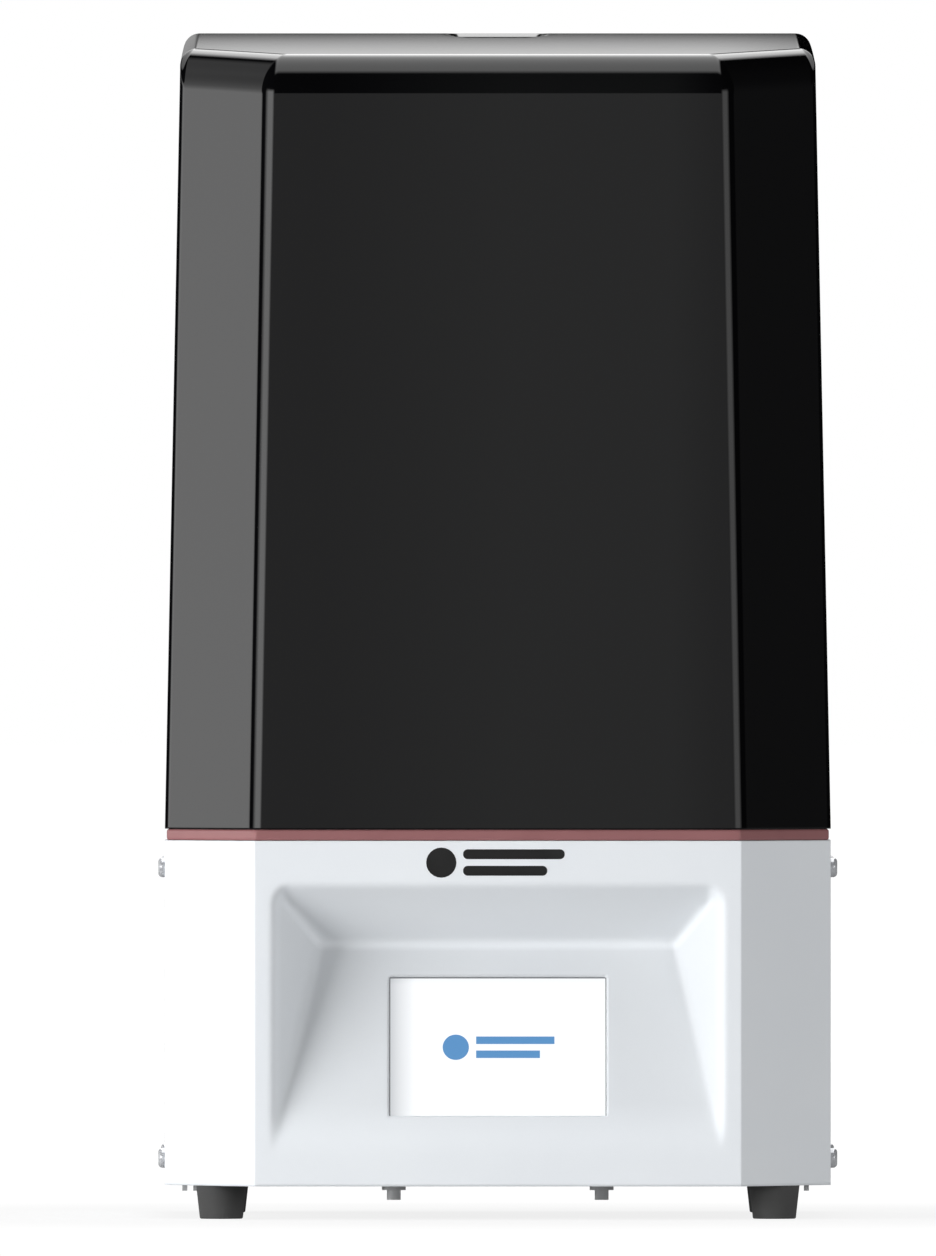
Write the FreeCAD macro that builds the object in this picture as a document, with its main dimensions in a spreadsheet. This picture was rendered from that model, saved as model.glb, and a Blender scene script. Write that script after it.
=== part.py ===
import FreeCAD, Part

import math
import os
from collections import namedtuple
from types import SimpleNamespace

import Sketcher

# A desktop resin printer, in millimetres.  X runs to the right, Y to the back and Z up.
# The origin is on the surface it stands on, at the centre of the base's plan.

V = FreeCAD.Vector
doc = FreeCAD.newDocument("resin_printer")

# ---------------------------------------------------------------------------
# Driving dimensions
# ---------------------------------------------------------------------------

DIMENSIONS = {
    # Base: plan, heights and sheet thickness.
    "half_width": 115.0, "half_depth": 113.0, "chamfer_x": 31.0, "chamfer_y": 42.0,
    "base_bottom": 11.5, "base_top": 130.5, "wall": 2.0, "fit": 0.1, "rear_round": 6.0,
    "plate": 1.5, "flange_height": 15.0, "flange_front": -60.0, "flange_back": 100.0,
    "pin_half": 0.85, "pin_drop": 3.4, "pin_front": 36.0, "pin_back": 42.0,
    "slot_half": 2.0, "fan_slot_reach": 24.0, "side_slot_front": 46.0, "side_slot_back": 86.0,
    # Sloping recess in the front that carries the display.
    "lean": 16.0, "recess_half": 77.5, "recess_back_half": 61.3,
    "recess_bottom": 26.5, "recess_top": 115.3,
    "window_width": 74.7, "window_height": 49.8, "window_centre": 59.7,
    # Rear opening and its panel.
    "rear_half": 98.0, "rear_low": 20.0, "rear_high": 121.0, "panel_lap": 8.0, "panel_lap_z": 4.0,
    "panel_slot_half": 1.75, "panel_slot_low": 70.0, "panel_slot_high": 106.0,
    # Feet.
    "foot_x": 95.4, "foot_y": 82.0, "foot_top_radius": 8.7, "foot_low_radius": 7.4,
    "foot_bore": 3.4, "foot_bore_depth": 7.5, "foot_screw_radius": 1.75, "foot_round": 0.6,
    # Seal between the base and the hood.
    "seal_inset": 0.7, "seal_width": 2.9, "seal_top": 134.5,
    "rim_inset": 3.8, "rim_width": 2.0, "rim_top": 138.0,
    # Hood.
    "hood_back_top": 412.0, "hood_front_drop": 11.0, "hood_wall": 3.0,
    "hood_top_half": 109.5, "hood_top_front": 105.0, "hood_top_back": 110.0, "hood_top_chamfer": 28.0,
    "hood_front_round": 12.5, "hood_side_round": 5.5, "hood_edge_round": 4.0, "hood_flank_round": 8.5,
    "grip_half": 15.6, "grip_depth": 1.6, "grip_length": 14.0,
    # Exposure screen, its seal tape and the lamp below it.
    "screen_y": -22.0, "screen_half_x": 74.5, "screen_half_y": 48.5, "screen_thick": 3.0,
    "screen_gap": 0.5, "tape_half_x": 78.0, "tape_half_y": 52.0, "tape_width": 6.0, "tape_thick": 0.2,
    "shroud_half_x": 76.0, "shroud_half_y": 51.0, "shroud_wall": 2.0,
    "lamp_bottom": 56.0, "lamp_thick": 1.6, "lamp_half_x": 78.0, "lamp_half_y": 53.0,
    "sink_half_x": 60.0, "sink_half_y": 38.0, "sink_base": 6.0, "fin_height": 20.0,
    "fin_thick": 1.6, "fin_pitch": 6.0, "lens_radius": 5.5, "lens_height": 4.0,
    "stud_x": 36.0, "stud_radius": 2.4, "stud_drop": 5.8, "nut_radius": 4.15, "nut_thick": 2.4,
    # Cooling fan.
    "fan_half": 30.0, "fan_bottom": 15.0, "fan_thick": 15.0, "fan_bore": 28.5, "fan_hub": 13.0,
    "fan_tip": 27.0, "fan_screw_pitch": 25.0, "fan_spoke": 2.5, "fan_spoke_half": 2.0,
    "fan_spoke_reach": 29.0, "fan_gap": 1.0,
    # Main board.
    "board_left": -100.0, "board_right": -20.0, "board_front": 34.0, "board_back": 98.0,
    "board_bottom": 24.0, "board_thick": 1.6, "post_radius": 3.0, "post_inset": 4.0,
    "chip_height": 1.6, "small_chip_height": 1.2, "socket_height": 7.0, "can_height": 9.0,
    "can_radius": 4.0,
    # Rear fittings.
    "inlet_x": -78.0, "fitting_z": 42.0, "inlet_radius": 5.5, "inlet_jack": 2.75, "inlet_pin": 1.0,
    "inlet_depth": 12.0, "inlet_floor": 2.0, "inlet_rim": 1.5, "fitting_proud": 1.0,
    "switch_x": -54.0, "switch_half_x": 7.0, "switch_half_z": 10.5, "switch_depth": 16.0,
    "switch_rim": 1.5, "switch_wall": 2.0, "switch_well": 6.0, "rocker_gap": 0.4,
    "usb_x": 62.0, "usb_half_x": 7.2, "usb_half_z": 3.4, "usb_depth": 17.0, "usb_wall": 0.6,
    "usb_floor": 2.0, "usb_proud": 0.5, "usb_tongue_inset": 1.4, "usb_tongue_low": 0.4,
    "usb_tongue_high": 2.2,
    # Display, drawn flat and then leaned back with the recess.
    "glass_margin": 5.0, "glass_thick": 1.2, "glass_gap": 0.05, "module_thick": 5.0, "module_margin": 4.0,
    "display_gap": 1.2, "display_board": 1.6, "display_chip": 2.2,
    # Vertical drive.
    "column_half": 38.0, "column_front": 74.0, "column_back": 90.0, "column_top": 386.0,
    "column_wall": 5.0, "rail_x": -14.0, "rail_half": 6.0, "rail_front": 66.0,
    "rail_bottom": 145.0, "rail_top": 370.0, "block_half": 13.5, "block_front": 61.0,
    "block_back": 71.0, "block_bottom": 222.0, "block_top": 268.0, "slide_fit": 0.06,
    "rail_pitch": 25.0, "rail_seat": 3.0, "rail_seat_depth": 3.6, "rail_head": 2.75,
    "rail_head_top": -0.6, "rail_head_low": -3.5, "rail_hex": 1.5, "rail_hex_low": -2.4,
    "screw_x": 18.0, "screw_y": 68.0, "screw_radius": 4.0, "screw_top": 384.0,
    "screw_fit": 0.08, "motor_half": 21.0, "motor_height": 34.0, "motor_wall": 3.0,
    "boss_radius": 11.0, "boss_height": 2.0, "rotor_radius": 12.0,
    "rotor_gap": 0.5, "bearing_radius": 5.8, "bearing_bottom": 374.0, "bearing_inset": 1.0,
    "bracket_half": 14.0, "bracket_front": 56.0, "bracket_thick": 10.0, "column_end": 10.0,
    # Carriage and arm.
    "plate_half": 34.0, "plate_front": 53.0, "plate_bottom": 215.0, "plate_top": 275.0,
    "plate_screw": 1.6, "plate_corner": 3.0, "arm_hole_half": 9.0, "arm_hole_front": 10.0,
    "arm_hole_back": 40.0,
    "nut_bottom": 236.0, "nut_top": 254.0, "nut_half": 10.0, "nut_back": 73.4,
    "arm_half": 20.0, "arm_bottom": 240.0, "arm_top": 264.0, "arm_front": -2.0,
    "tongue_half": 15.0, "tongue_bottom": 244.2, "tongue_top": 259.8, "tongue_front": -34.0,
    "flag_x": -33.0, "flag_half": 0.5, "flag_bottom": 216.0, "flag_top": 226.0, "flag_back": 68.0,
    "sensor_bottom": 148.0, "sensor_top": 160.0, "sensor_half": 4.0, "sensor_slot": 1.6,
    "sensor_depth": 11.0, "sensor_back": 3.0,
    # Platform.
    "holder_half": 22.0, "holder_front": -42.0, "holder_bottom": 236.0, "holder_top": 268.0,
    "ball_z": 221.7, "ball_radius": 12.0, "stem_radius": 6.0, "ball_fit": 0.1,
    "socket_radius": 20.0, "socket_top": 227.0, "deck_half_x": 66.0, "deck_half_y": 40.0,
    "deck_bottom": 201.5, "deck_thick": 8.0, "knob_radius": 15.0, "knob_bottom": 269.0,
    "knob_height": 16.0, "knob_screw_radius": 4.0, "knob_tip_gap": 0.05, "knob_round": 2.5,
    "groove_radius": 3.0, "groove_out": 1.6, "level_rise": 8.0, "level_radius": 2.0,
    "level_head": 3.5, "level_seat": 0.6, "level_top": 4.6, "level_tip": -7.0, "level_hex": 1.7,
    "level_hex_low": 2.0,
    # Vat and the rails that hold it.
    "vat_half_x": 88.0, "vat_front": -80.0, "vat_back": 40.0, "vat_bottom": 131.0, "vat_top": 163.0,
    "tank_half_x": 75.0, "tank_front": -68.0, "tank_back": 24.0, "vat_round": 14.0, "tank_round": 9.0,
    "ear_half_x": 101.0, "ear_front": -60.0, "ear_back": 30.0, "ear_thick": 5.0,
    "film_thick": 0.3, "film_lap": 8.0, "ring_thick": 2.2,
    "leg_inner": 102.0, "leg_outer": 107.0, "lip_inner": 91.0, "lip_bottom": 136.5, "lip_top": 142.0,
    "clamp_x": 96.5, "clamp_y": -15.0, "clamp_radius": 2.5, "clamp_knob": 7.0, "clamp_gap": 0.6,
    "clamp_knob_height": 12.0, "clamp_round": 1.2, "clamp_groove": 1.4, "clamp_groove_out": 0.6,
    "spout_x": -53.0, "spout_half": 7.0, "spout_depth": 8.0,
    # Fasteners.
    "small_head": 2.8, "small_head_height": 1.6, "small_shank": 1.5,
    "side_head": 3.4, "side_head_height": 2.4, "side_screw_low": 20.5, "side_screw_high": 121.0,
    "side_screw_front": -45.0, "side_screw_back": 92.0,
}

sheet = doc.addObject("Spreadsheet::Sheet", "Dims")
for row, (alias, number) in enumerate(DIMENSIONS.items(), start=1):
    sheet.set(f"A{row}", alias.replace("_", " "))
    sheet.set(f"B{row}", str(number))
    sheet.setAlias(f"B{row}", alias)
doc.recompute()


class Size:
    """A dimension worked out from cells of the sheet: the expression's text and its value."""

    def __init__(self, text, value):
        self.text = text
        self.value = value

    def joined(self, sign, other, value):
        return Size(f"({self.text} {sign} {other.text})", value)

    def __add__(self, other):
        other = size(other)
        return self.joined("+", other, self.value + other.value)

    def __sub__(self, other):
        other = size(other)
        return self.joined("-", other, self.value - other.value)

    def __mul__(self, other):
        other = size(other)
        return self.joined("*", other, self.value * other.value)

    def __truediv__(self, other):
        other = size(other)
        return self.joined("/", other, self.value / other.value)

    def __radd__(self, other):
        return size(other) + self

    def __rsub__(self, other):
        return size(other) - self

    def __rmul__(self, other):
        return size(other) * self

    def __rtruediv__(self, other):
        return size(other) / self

    def __neg__(self):
        return Size(f"(-{self.text})", -self.value)


def size(number):
    """A plain number as a Size; a Size stays as it is."""
    return number if isinstance(number, Size) else Size(f"({number})", float(number))


def function(name, angle_or_length, value):
    return Size(f"{name}({angle_or_length.text})", value)


def tangent(angle):
    return function("tan", angle, math.tan(math.radians(angle.value)))


def sine(angle):
    return function("sin", angle, math.sin(math.radians(angle.value)))


def root(length):
    return function("sqrt", length, math.sqrt(length.value))


D = SimpleNamespace(**{alias: Size(f"Dims.{alias}", number) for alias, number in DIMENSIONS.items()})

# ---------------------------------------------------------------------------
# Drawing helpers
# ---------------------------------------------------------------------------

Circle = namedtuple("Circle", "x y radius")
PLANES = {"X": ("YZ_Plane", 1), "Y": ("XZ_Plane", -1), "Z": ("XY_Plane", 1)}
NODES = {}


def node(piece, name):
    """Make a document object one of the printer's sub-parts."""
    piece.Label = name
    NODES[name] = piece
    return piece


def bind(piece, **sizes):
    for prop, amount in sizes.items():
        piece.setExpression(prop.replace("__", "."), size(amount).text)


def rectangle(x_low, x_high, y_low, y_high):
    return [(x_low, y_low), (x_high, y_low), (x_high, y_high), (x_low, y_high)]


def pin_point(sketch, geometry, vertex, x, y):
    """Hold one point of a sketch at x and y from its origin, both bound to the sheet."""
    for kind, amount in (("DistanceX", size(x)), ("DistanceY", size(y))):
        constraint = Sketcher.Constraint(kind, -1, 1, geometry, vertex, amount.value)
        label = f"{kind}_{geometry}"
        sketch.renameConstraint(sketch.addConstraint(constraint), label)
        sketch.setExpression(f"Constraints.{label}", amount.text)


def draw_circle(sketch, circle):
    x, y, radius = (size(amount) for amount in circle)
    item = sketch.addGeometry(Part.Circle(V(x.value, y.value, 0), V(0, 0, 1), radius.value))
    pin_point(sketch, item, 3, x, y)
    label = f"Radius_{item}"
    sketch.renameConstraint(sketch.addConstraint(Sketcher.Constraint("Radius", item, radius.value)), label)
    sketch.setExpression(f"Constraints.{label}", radius.text)


def draw_polygon(sketch, points):
    corners = [(size(x), size(y)) for x, y in points]
    places = [V(x.value, y.value, 0) for x, y in corners]
    count = len(corners)
    first = sketch.GeometryCount
    for index in range(count):
        sketch.addGeometry(Part.LineSegment(places[index], places[(index + 1) % count]))
    for index in range(count):
        following = first + (index + 1) % count
        sketch.addConstraint(Sketcher.Constraint("Coincident", first + index, 2, following, 1))
    for index, (x, y) in enumerate(corners):
        pin_point(sketch, first + index, 1, x, y)


def new_sketch(body, axis, position, loops):
    """A sketch across an axis of the body, at a position along it, with closed loops."""
    sketch = body.newObject("Sketcher::SketchObject", f"{body.Name}_sketch")
    role, direction = PLANES[axis]
    plane = next(item for item in body.Origin.OriginFeatures if item.Role == role)
    sketch.AttachmentSupport = (plane, [""])
    sketch.MapMode = "FlatFace"
    bind(sketch, AttachmentOffset__Base__z=position * direction)
    for loop in loops:
        if isinstance(loop, Circle):
            draw_circle(sketch, loop)
        else:
            draw_polygon(sketch, loop)
    return sketch


def new_body(name):
    return doc.addObject("PartDesign::Body", f"{name}_body")


def add(body, axis, low, high, *loops):
    """Pad loops drawn across an axis, from low to high along it."""
    low, high = size(low), size(high)
    sketch = new_sketch(body, axis, high if axis == "Y" else low, loops)
    pad = body.newObject("PartDesign::Pad", f"{body.Name}_pad")
    pad.Profile = sketch
    bind(pad, Length=high - low)
    return pad


def take(body, axis, low, high, *loops):
    """Pocket loops drawn across an axis, from low to high along it."""
    low, high = size(low), size(high)
    sketch = new_sketch(body, axis, low if axis == "Y" else high, loops)
    pocket = body.newObject("PartDesign::Pocket", f"{body.Name}_pocket")
    pocket.Profile = sketch
    bind(pocket, Length=high - low)
    return pocket


def solid(name, axis, low, high, *loops):
    """A body made of one pad."""
    body = new_body(name)
    add(body, axis, low, high, *loops)
    return body


def edge_names(shape, wanted):
    return [f"Edge{index}" for index, edge in enumerate(shape.Edges, start=1) if wanted(edge)]


def round_edges(body, radius, wanted):
    """Fillet the edges of the body's tip that pass the test."""
    doc.recompute()
    base = body.Tip
    fillet = body.newObject("PartDesign::Fillet", f"{body.Name}_fillet")
    fillet.Base = (base, edge_names(base.Shape, wanted))
    bind(fillet, Radius=radius)
    return fillet


def bevel_edges(body, amount, wanted):
    doc.recompute()
    base = body.Tip
    chamfer = body.newObject("PartDesign::Chamfer", f"{body.Name}_chamfer")
    chamfer.Base = (base, edge_names(base.Shape, wanted))
    bind(chamfer, Size=amount)
    return chamfer


def spin_pattern(body, feature, count):
    """Repeat a feature round the body's Z axis."""
    pattern = body.newObject("PartDesign::PolarPattern", f"{body.Name}_pattern")
    pattern.Originals = [feature]
    pattern.Axis = (next(item for item in body.Origin.OriginFeatures if item.Role == "Z_Axis"), [""])
    pattern.Angle = 360
    pattern.Occurrences = count
    body.Tip = pattern
    return pattern


def upright(edge):
    """True for a straight edge that runs along Z."""
    ends = [vertex.Point for vertex in edge.Vertexes]
    return len(ends) == 2 and math.hypot(ends[0].x - ends[1].x, ends[0].y - ends[1].y) < 1e-6


def upright_at(*corners):
    """A test for upright edges that stand at given plan corners."""
    def wanted(edge):
        if not upright(edge):
            return False
        place = edge.Vertexes[0].Point
        return any(math.hypot(place.x - size(x).value, place.y - size(y).value) < 0.01 for x, y in corners)
    return wanted


def level_at(height):
    """A test for edges that lie wholly at one height."""
    level = size(height).value

    def wanted(edge):
        return abs(edge.BoundBox.ZMin - level) < 1e-4 and abs(edge.BoundBox.ZMax - level) < 1e-4
    return wanted


def joined(kind, name, base, tool):
    """A Part boolean of two objects."""
    piece = doc.addObject(f"Part::{kind}", name)
    piece.Base = base
    piece.Tool = tool
    return piece


def place(piece, x=0, y=0, z=0, turn=None):
    piece.Placement = FreeCAD.Placement(V(0, 0, 0), turn or FreeCAD.Rotation())
    bind(piece, Placement__Base__x=x, Placement__Base__y=y, Placement__Base__z=z)
    return piece


def copies(name, prototype, places):
    """One node that holds a copy of a prototype at each (x, y, z, rotation)."""
    doc.recompute()
    solids = []
    for x, y, z, turn in places:
        spot = V(size(x).value, size(y).value, size(z).value)
        for original in prototype.Shape.Solids:
            solids.append(original.transformed(FreeCAD.Placement(spot, turn).toMatrix(), True))
    feature = doc.addObject("Part::Feature", f"{name}_copies")
    feature.Shape = Part.makeCompound(solids)
    feature.Placement = FreeCAD.Placement()
    return node(feature, name)


UP = FreeCAD.Rotation()
DOWN = FreeCAD.Rotation(V(1, 0, 0), 180)
FORWARD = FreeCAD.Rotation(V(1, 0, 0), 90)
BACKWARD = FreeCAD.Rotation(V(1, 0, 0), -90)
RIGHTWARD = FreeCAD.Rotation(V(0, 1, 0), 90)
LEFTWARD = FreeCAD.Rotation(V(0, 1, 0), -90)


def pan_screw(name, head, head_height, shank, length):
    """A pan-head screw: its seat is at the origin, its head towards +Z, with a cross recess."""
    body = solid(name, "Z", 0, head_height, Circle(0, 0, head))
    round_edges(body, head_height * 0.6, level_at(head_height))
    add(body, "Z", -size(length), 0, Circle(0, 0, shank))
    arm = head * 0.55
    slot = head * 0.13
    cross = [(slot, slot), (slot, arm), (-slot, arm), (-slot, slot), (-arm, slot), (-arm, -slot),
             (-slot, -slot), (-slot, -arm), (slot, -arm), (slot, -slot), (arm, -slot), (arm, slot)]
    take(body, "Z", head_height * 0.35, head_height, cross)
    return body


def base_outline(inset):
    """The base's plan, moved inwards: a rectangle whose two front corners are cut off."""
    inset = size(inset)
    slant = root(D.chamfer_x * D.chamfer_x + D.chamfer_y * D.chamfer_y)
    front_half = D.half_width - D.chamfer_x - inset * (slant - D.chamfer_x) / D.chamfer_y
    side = D.half_width - inset
    front = inset - D.half_depth
    corner = D.chamfer_y - D.half_depth + inset * (slant - D.chamfer_y) / D.chamfer_x
    back = D.half_depth - inset
    return [(-front_half, front), (front_half, front), (side, corner), (side, back), (-side, back),
            (-side, corner)]


# ---------------------------------------------------------------------------
# Base
# ---------------------------------------------------------------------------

INNER = D.wall + D.fit
PANEL_FACE = D.half_depth - D.wall
FACE = -D.half_depth
PANEL_SCREW_ROWS = (30, 70, 112)
PIN_PLACES = (-108.8, -105.0, 107.4)
FAN_SLOTS = range(-24, 25, 8)
SIDE_SLOTS = range(-84, -27, 8)
PANEL_SLOTS = range(-70, 71, 10)


def recess_wedge(name, low, high, face_half, back_half, depth):
    """The recess as a wedge: a floor that leans back from the face and a roof at 45 degrees."""
    wedge = doc.addObject("Part::Wedge", name)
    knee = high - depth
    bind(wedge, Xmin=-face_half, Xmax=face_half, Zmin=low, Zmax=high, Ymin=FACE,
         X2min=-back_half, X2max=back_half, Z2min=knee, Z2max=knee, Ymax=FACE + depth)
    return wedge


def leaned(piece):
    """Put a piece drawn about the window's centre on the recess's sloping floor."""
    turn = FreeCAD.Rotation(V(1, 0, 0), -D.lean.value)
    rise = D.window_centre - D.recess_bottom
    return place(piece, 0, FACE + rise * tangent(D.lean), D.window_centre, turn)


def side_screw_places():
    """Where the base's sides are screwed to the flanges inside: (side, y, z)."""
    rows = (D.side_screw_front, D.side_screw_back)
    return [(side, y, z) for side in (-1, 1) for y in rows for z in (D.side_screw_low, D.side_screw_high)]


def panel_screw_places():
    """Where the rear panel is screwed to the base: (x, z)."""
    return [(side * (D.rear_half + D.panel_lap_z), z) for side in (-1, 1) for z in PANEL_SCREW_ROWS]


def make_base_housing():
    shell = solid("housing", "Z", D.base_bottom, D.base_top, base_outline(0))
    rear = [(D.half_width, D.half_depth), (-D.half_width, D.half_depth)]
    round_edges(shell, D.rear_round, upright_at(*rear))
    take(shell, "Z", D.base_bottom, D.base_top, base_outline(D.wall))
    take(shell, "Y", 0, D.half_depth, rectangle(-D.rear_half, D.rear_half, D.rear_low, D.rear_high))
    rises = 1 / tangent(D.lean) + 1
    depth = (D.recess_top - D.recess_bottom) / rises
    slope = (D.recess_half - D.recess_back_half) / depth
    skin_low = D.recess_bottom - D.wall / sine(D.lean)
    skin_high = D.recess_top + D.wall * math.sqrt(2)
    skin_depth = (skin_high - skin_low) / rises
    skin_half = D.recess_half + D.wall * root(1 + slope * slope)
    skin = recess_wedge("recess_skin", skin_low, skin_high, skin_half, skin_half - slope * skin_depth,
                        skin_depth)
    recess = recess_wedge("recess", D.recess_bottom, D.recess_top, D.recess_half, D.recess_back_half,
                          depth)
    window = leaned(solid("window", "Y", -2 * D.wall, 2 * D.wall, rectangle(
        -D.window_width / 2, D.window_width / 2, -D.window_height / 2, D.window_height / 2)))
    holes = new_body("housing_holes")
    rows = [Circle(y, z, D.small_shank + D.fit) for side, y, z in side_screw_places() if side > 0]
    add(holes, "X", -D.half_width, D.half_width, *rows)
    rear_holes = new_body("housing_rear_holes")
    add(rear_holes, "Y", PANEL_FACE - 1, D.half_depth + 1,
        *[Circle(x, z, D.small_shank + D.fit) for x, z in panel_screw_places()])
    dished = joined("Cut", "housing_dished", joined("Fuse", "housing_skinned", shell, skin), recess)
    housing = joined("Cut", "housing_open", dished, window)
    drilled = joined("Cut", "housing_drilled", housing, holes)
    return node(joined("Cut", "housing_finished", drilled, rear_holes), "base_housing")


def make_bottom_plate():
    plate = solid("bottom_plate", "Z", D.base_bottom, D.base_bottom + D.plate, base_outline(INNER))
    for side in (-1, 1):
        outer = side * (D.half_width - INNER)
        inner = outer - side * D.plate
        low, high = (inner, outer) if side > 0 else (outer, inner)
        add(plate, "Z", D.base_bottom + D.plate, D.base_bottom + D.plate + D.flange_height,
            rectangle(low, high, D.flange_front, D.flange_back))
    for x in PIN_PLACES:
        add(plate, "Z", D.base_bottom - D.pin_drop, D.base_bottom,
            rectangle(x - D.pin_half, x + D.pin_half, D.pin_front, D.pin_back))
    feet = [Circle(x * D.foot_x, y * D.foot_y, D.foot_screw_radius) for x in (-1, 1) for y in (-1, 1)]
    studs = [Circle(x * D.stud_x, D.screen_y, D.stud_radius + D.fit) for x in (-1, 1)]
    slots = [rectangle(x - D.slot_half, x + D.slot_half, D.screen_y - D.fan_slot_reach,
                       D.screen_y + D.fan_slot_reach) for x in FAN_SLOTS]
    side_slots = [rectangle(x - D.slot_half, x + D.slot_half, D.side_slot_front, D.side_slot_back)
                  for x in SIDE_SLOTS]
    take(plate, "Z", D.base_bottom, D.base_bottom + D.plate, *feet, *studs, *slots, *side_slots)
    rows = [Circle(y, z, D.small_shank) for side, y, z in side_screw_places()
            if side > 0 and z is D.side_screw_low]
    take(plate, "X", -D.half_width, D.half_width, *rows)
    return node(plate, "bottom_plate")


def make_back_panel():
    panel = solid("back_panel", "Y", PANEL_FACE - D.plate, PANEL_FACE, rectangle(
        -D.rear_half - D.panel_lap, D.rear_half + D.panel_lap, D.rear_low - D.panel_lap_z,
        D.rear_high + D.panel_lap_z))
    slots = [rectangle(x - D.panel_slot_half, x + D.panel_slot_half, D.panel_slot_low, D.panel_slot_high)
             for x in PANEL_SLOTS]
    inlet = Circle(D.inlet_x, D.fitting_z, D.inlet_radius + D.fit)
    switch = rectangle(D.switch_x - D.switch_half_x, D.switch_x + D.switch_half_x,
                       D.fitting_z - D.switch_half_z, D.fitting_z + D.switch_half_z)
    usb = rectangle(D.usb_x - D.usb_half_x, D.usb_x + D.usb_half_x,
                    D.fitting_z - D.usb_half_z, D.fitting_z + D.usb_half_z)
    screws = [Circle(x, z, D.small_shank) for x, z in panel_screw_places()]
    take(panel, "Y", PANEL_FACE - D.plate, PANEL_FACE, *slots, inlet, switch, usb, *screws)
    return node(panel, "back_panel")


def make_back_screws():
    """Six screws through the rear frame of the base into the panel behind it."""
    screw = pan_screw("panel_screw", D.small_head, D.small_head_height, D.small_shank,
                      D.wall + D.plate + 1)
    return copies("back_screws", screw, [(x, D.half_depth, z, BACKWARD) for x, z in panel_screw_places()])


def make_feet():
    foot = new_body("foot")
    sketch = new_sketch(foot, "Y", 0, [[
        (D.foot_screw_radius, D.foot_bore_depth), (D.foot_bore, D.foot_bore_depth), (D.foot_bore, 0),
        (D.foot_low_radius, 0), (D.foot_top_radius, D.base_bottom), (D.foot_screw_radius, D.base_bottom)]])
    turned = foot.newObject("PartDesign::Revolution", "foot_turned")
    turned.Profile = sketch
    turned.ReferenceAxis = (next(item for item in foot.Origin.OriginFeatures if item.Role == "Z_Axis"), [""])
    turned.Angle = 360
    round_edges(foot, D.foot_round, lambda edge: level_at(0)(edge) and edge.BoundBox.XMax > 7)
    screw = pan_screw("foot_screw", D.small_head, D.small_head_height, D.foot_screw_radius,
                      D.base_bottom - D.foot_bore_depth + 4)
    seats = []
    for x, side in ((-1, "left"), (1, "right")):
        for y, end in ((-1, "front"), (1, "rear")):
            copies(f"foot_{end}_{side}", foot, [(x * D.foot_x, y * D.foot_y, 0, UP)])
            seats.append((x * D.foot_x, y * D.foot_y, D.foot_bore_depth, DOWN))
    copies("foot_screws", screw, seats)


def make_side_screws():
    screw = pan_screw("side_screw", D.side_head, D.side_head_height, D.small_shank, D.wall + D.plate + 2)
    places = [(side * D.half_width, y, z, RIGHTWARD if side > 0 else LEFTWARD)
              for side, y, z in side_screw_places()]
    return copies("side_screws", screw, places)


def make_top_deck():
    """The deck that closes the base, with flanges down inside the walls and a rim for the hood."""
    low = D.base_top - D.screen_thick
    deck = solid("top_deck", "Z", low, D.base_top, base_outline(INNER))
    rim = base_outline(D.rim_inset)
    add(deck, "Z", D.base_top, D.rim_top, rim, base_outline(D.rim_inset + D.rim_width))
    round_edges(deck, D.rear_round - D.wall, upright_at(rim[3], rim[4]))
    for side in (-1, 1):
        outer = side * (D.half_width - INNER)
        inner = outer - side * D.plate
        x_low, x_high = (inner, outer) if side > 0 else (outer, inner)
        add(deck, "Z", low - D.flange_height, low, rectangle(x_low, x_high, D.flange_front, D.flange_back))
    half_x = D.screen_half_x + D.screen_gap
    half_y = D.screen_half_y + D.screen_gap
    take(deck, "Z", low, D.base_top, rectangle(-half_x, half_x, D.screen_y - half_y, D.screen_y + half_y),
         Circle(D.screw_x, D.screw_y, D.boss_radius + D.fit))
    rows = [Circle(y, z, D.small_shank) for side, y, z in side_screw_places()
            if side > 0 and z is D.side_screw_high]
    take(deck, "X", -D.half_width, D.half_width, *rows)
    return node(deck, "top_deck")


def make_seal():
    outer = base_outline(D.seal_inset)
    seal = solid("hood_seal_ring", "Z", D.base_top, D.seal_top, outer,
                 base_outline(D.seal_inset + D.seal_width))
    round_edges(seal, D.rear_round - D.seal_inset, upright_at(outer[3], outer[4]))
    return node(seal, "hood_seal_ring")


# ---------------------------------------------------------------------------
# Hood
# ---------------------------------------------------------------------------

def hood_top_outline(inset):
    slant = root(D.chamfer_x * D.chamfer_x + D.chamfer_y * D.chamfer_y)
    chamfer_y = D.hood_top_chamfer * D.chamfer_y / D.chamfer_x
    front_half = D.hood_top_half - D.hood_top_chamfer - inset * (slant - D.chamfer_x) / D.chamfer_y
    side = D.hood_top_half - inset
    front = inset - D.hood_top_front
    corner = chamfer_y - D.hood_top_front + inset * (slant - D.chamfer_y) / D.chamfer_x
    back = D.hood_top_back - inset
    return [(-front_half, front), (front_half, front), (side, corner), (side, back), (-side, back),
            (-side, corner)]


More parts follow.
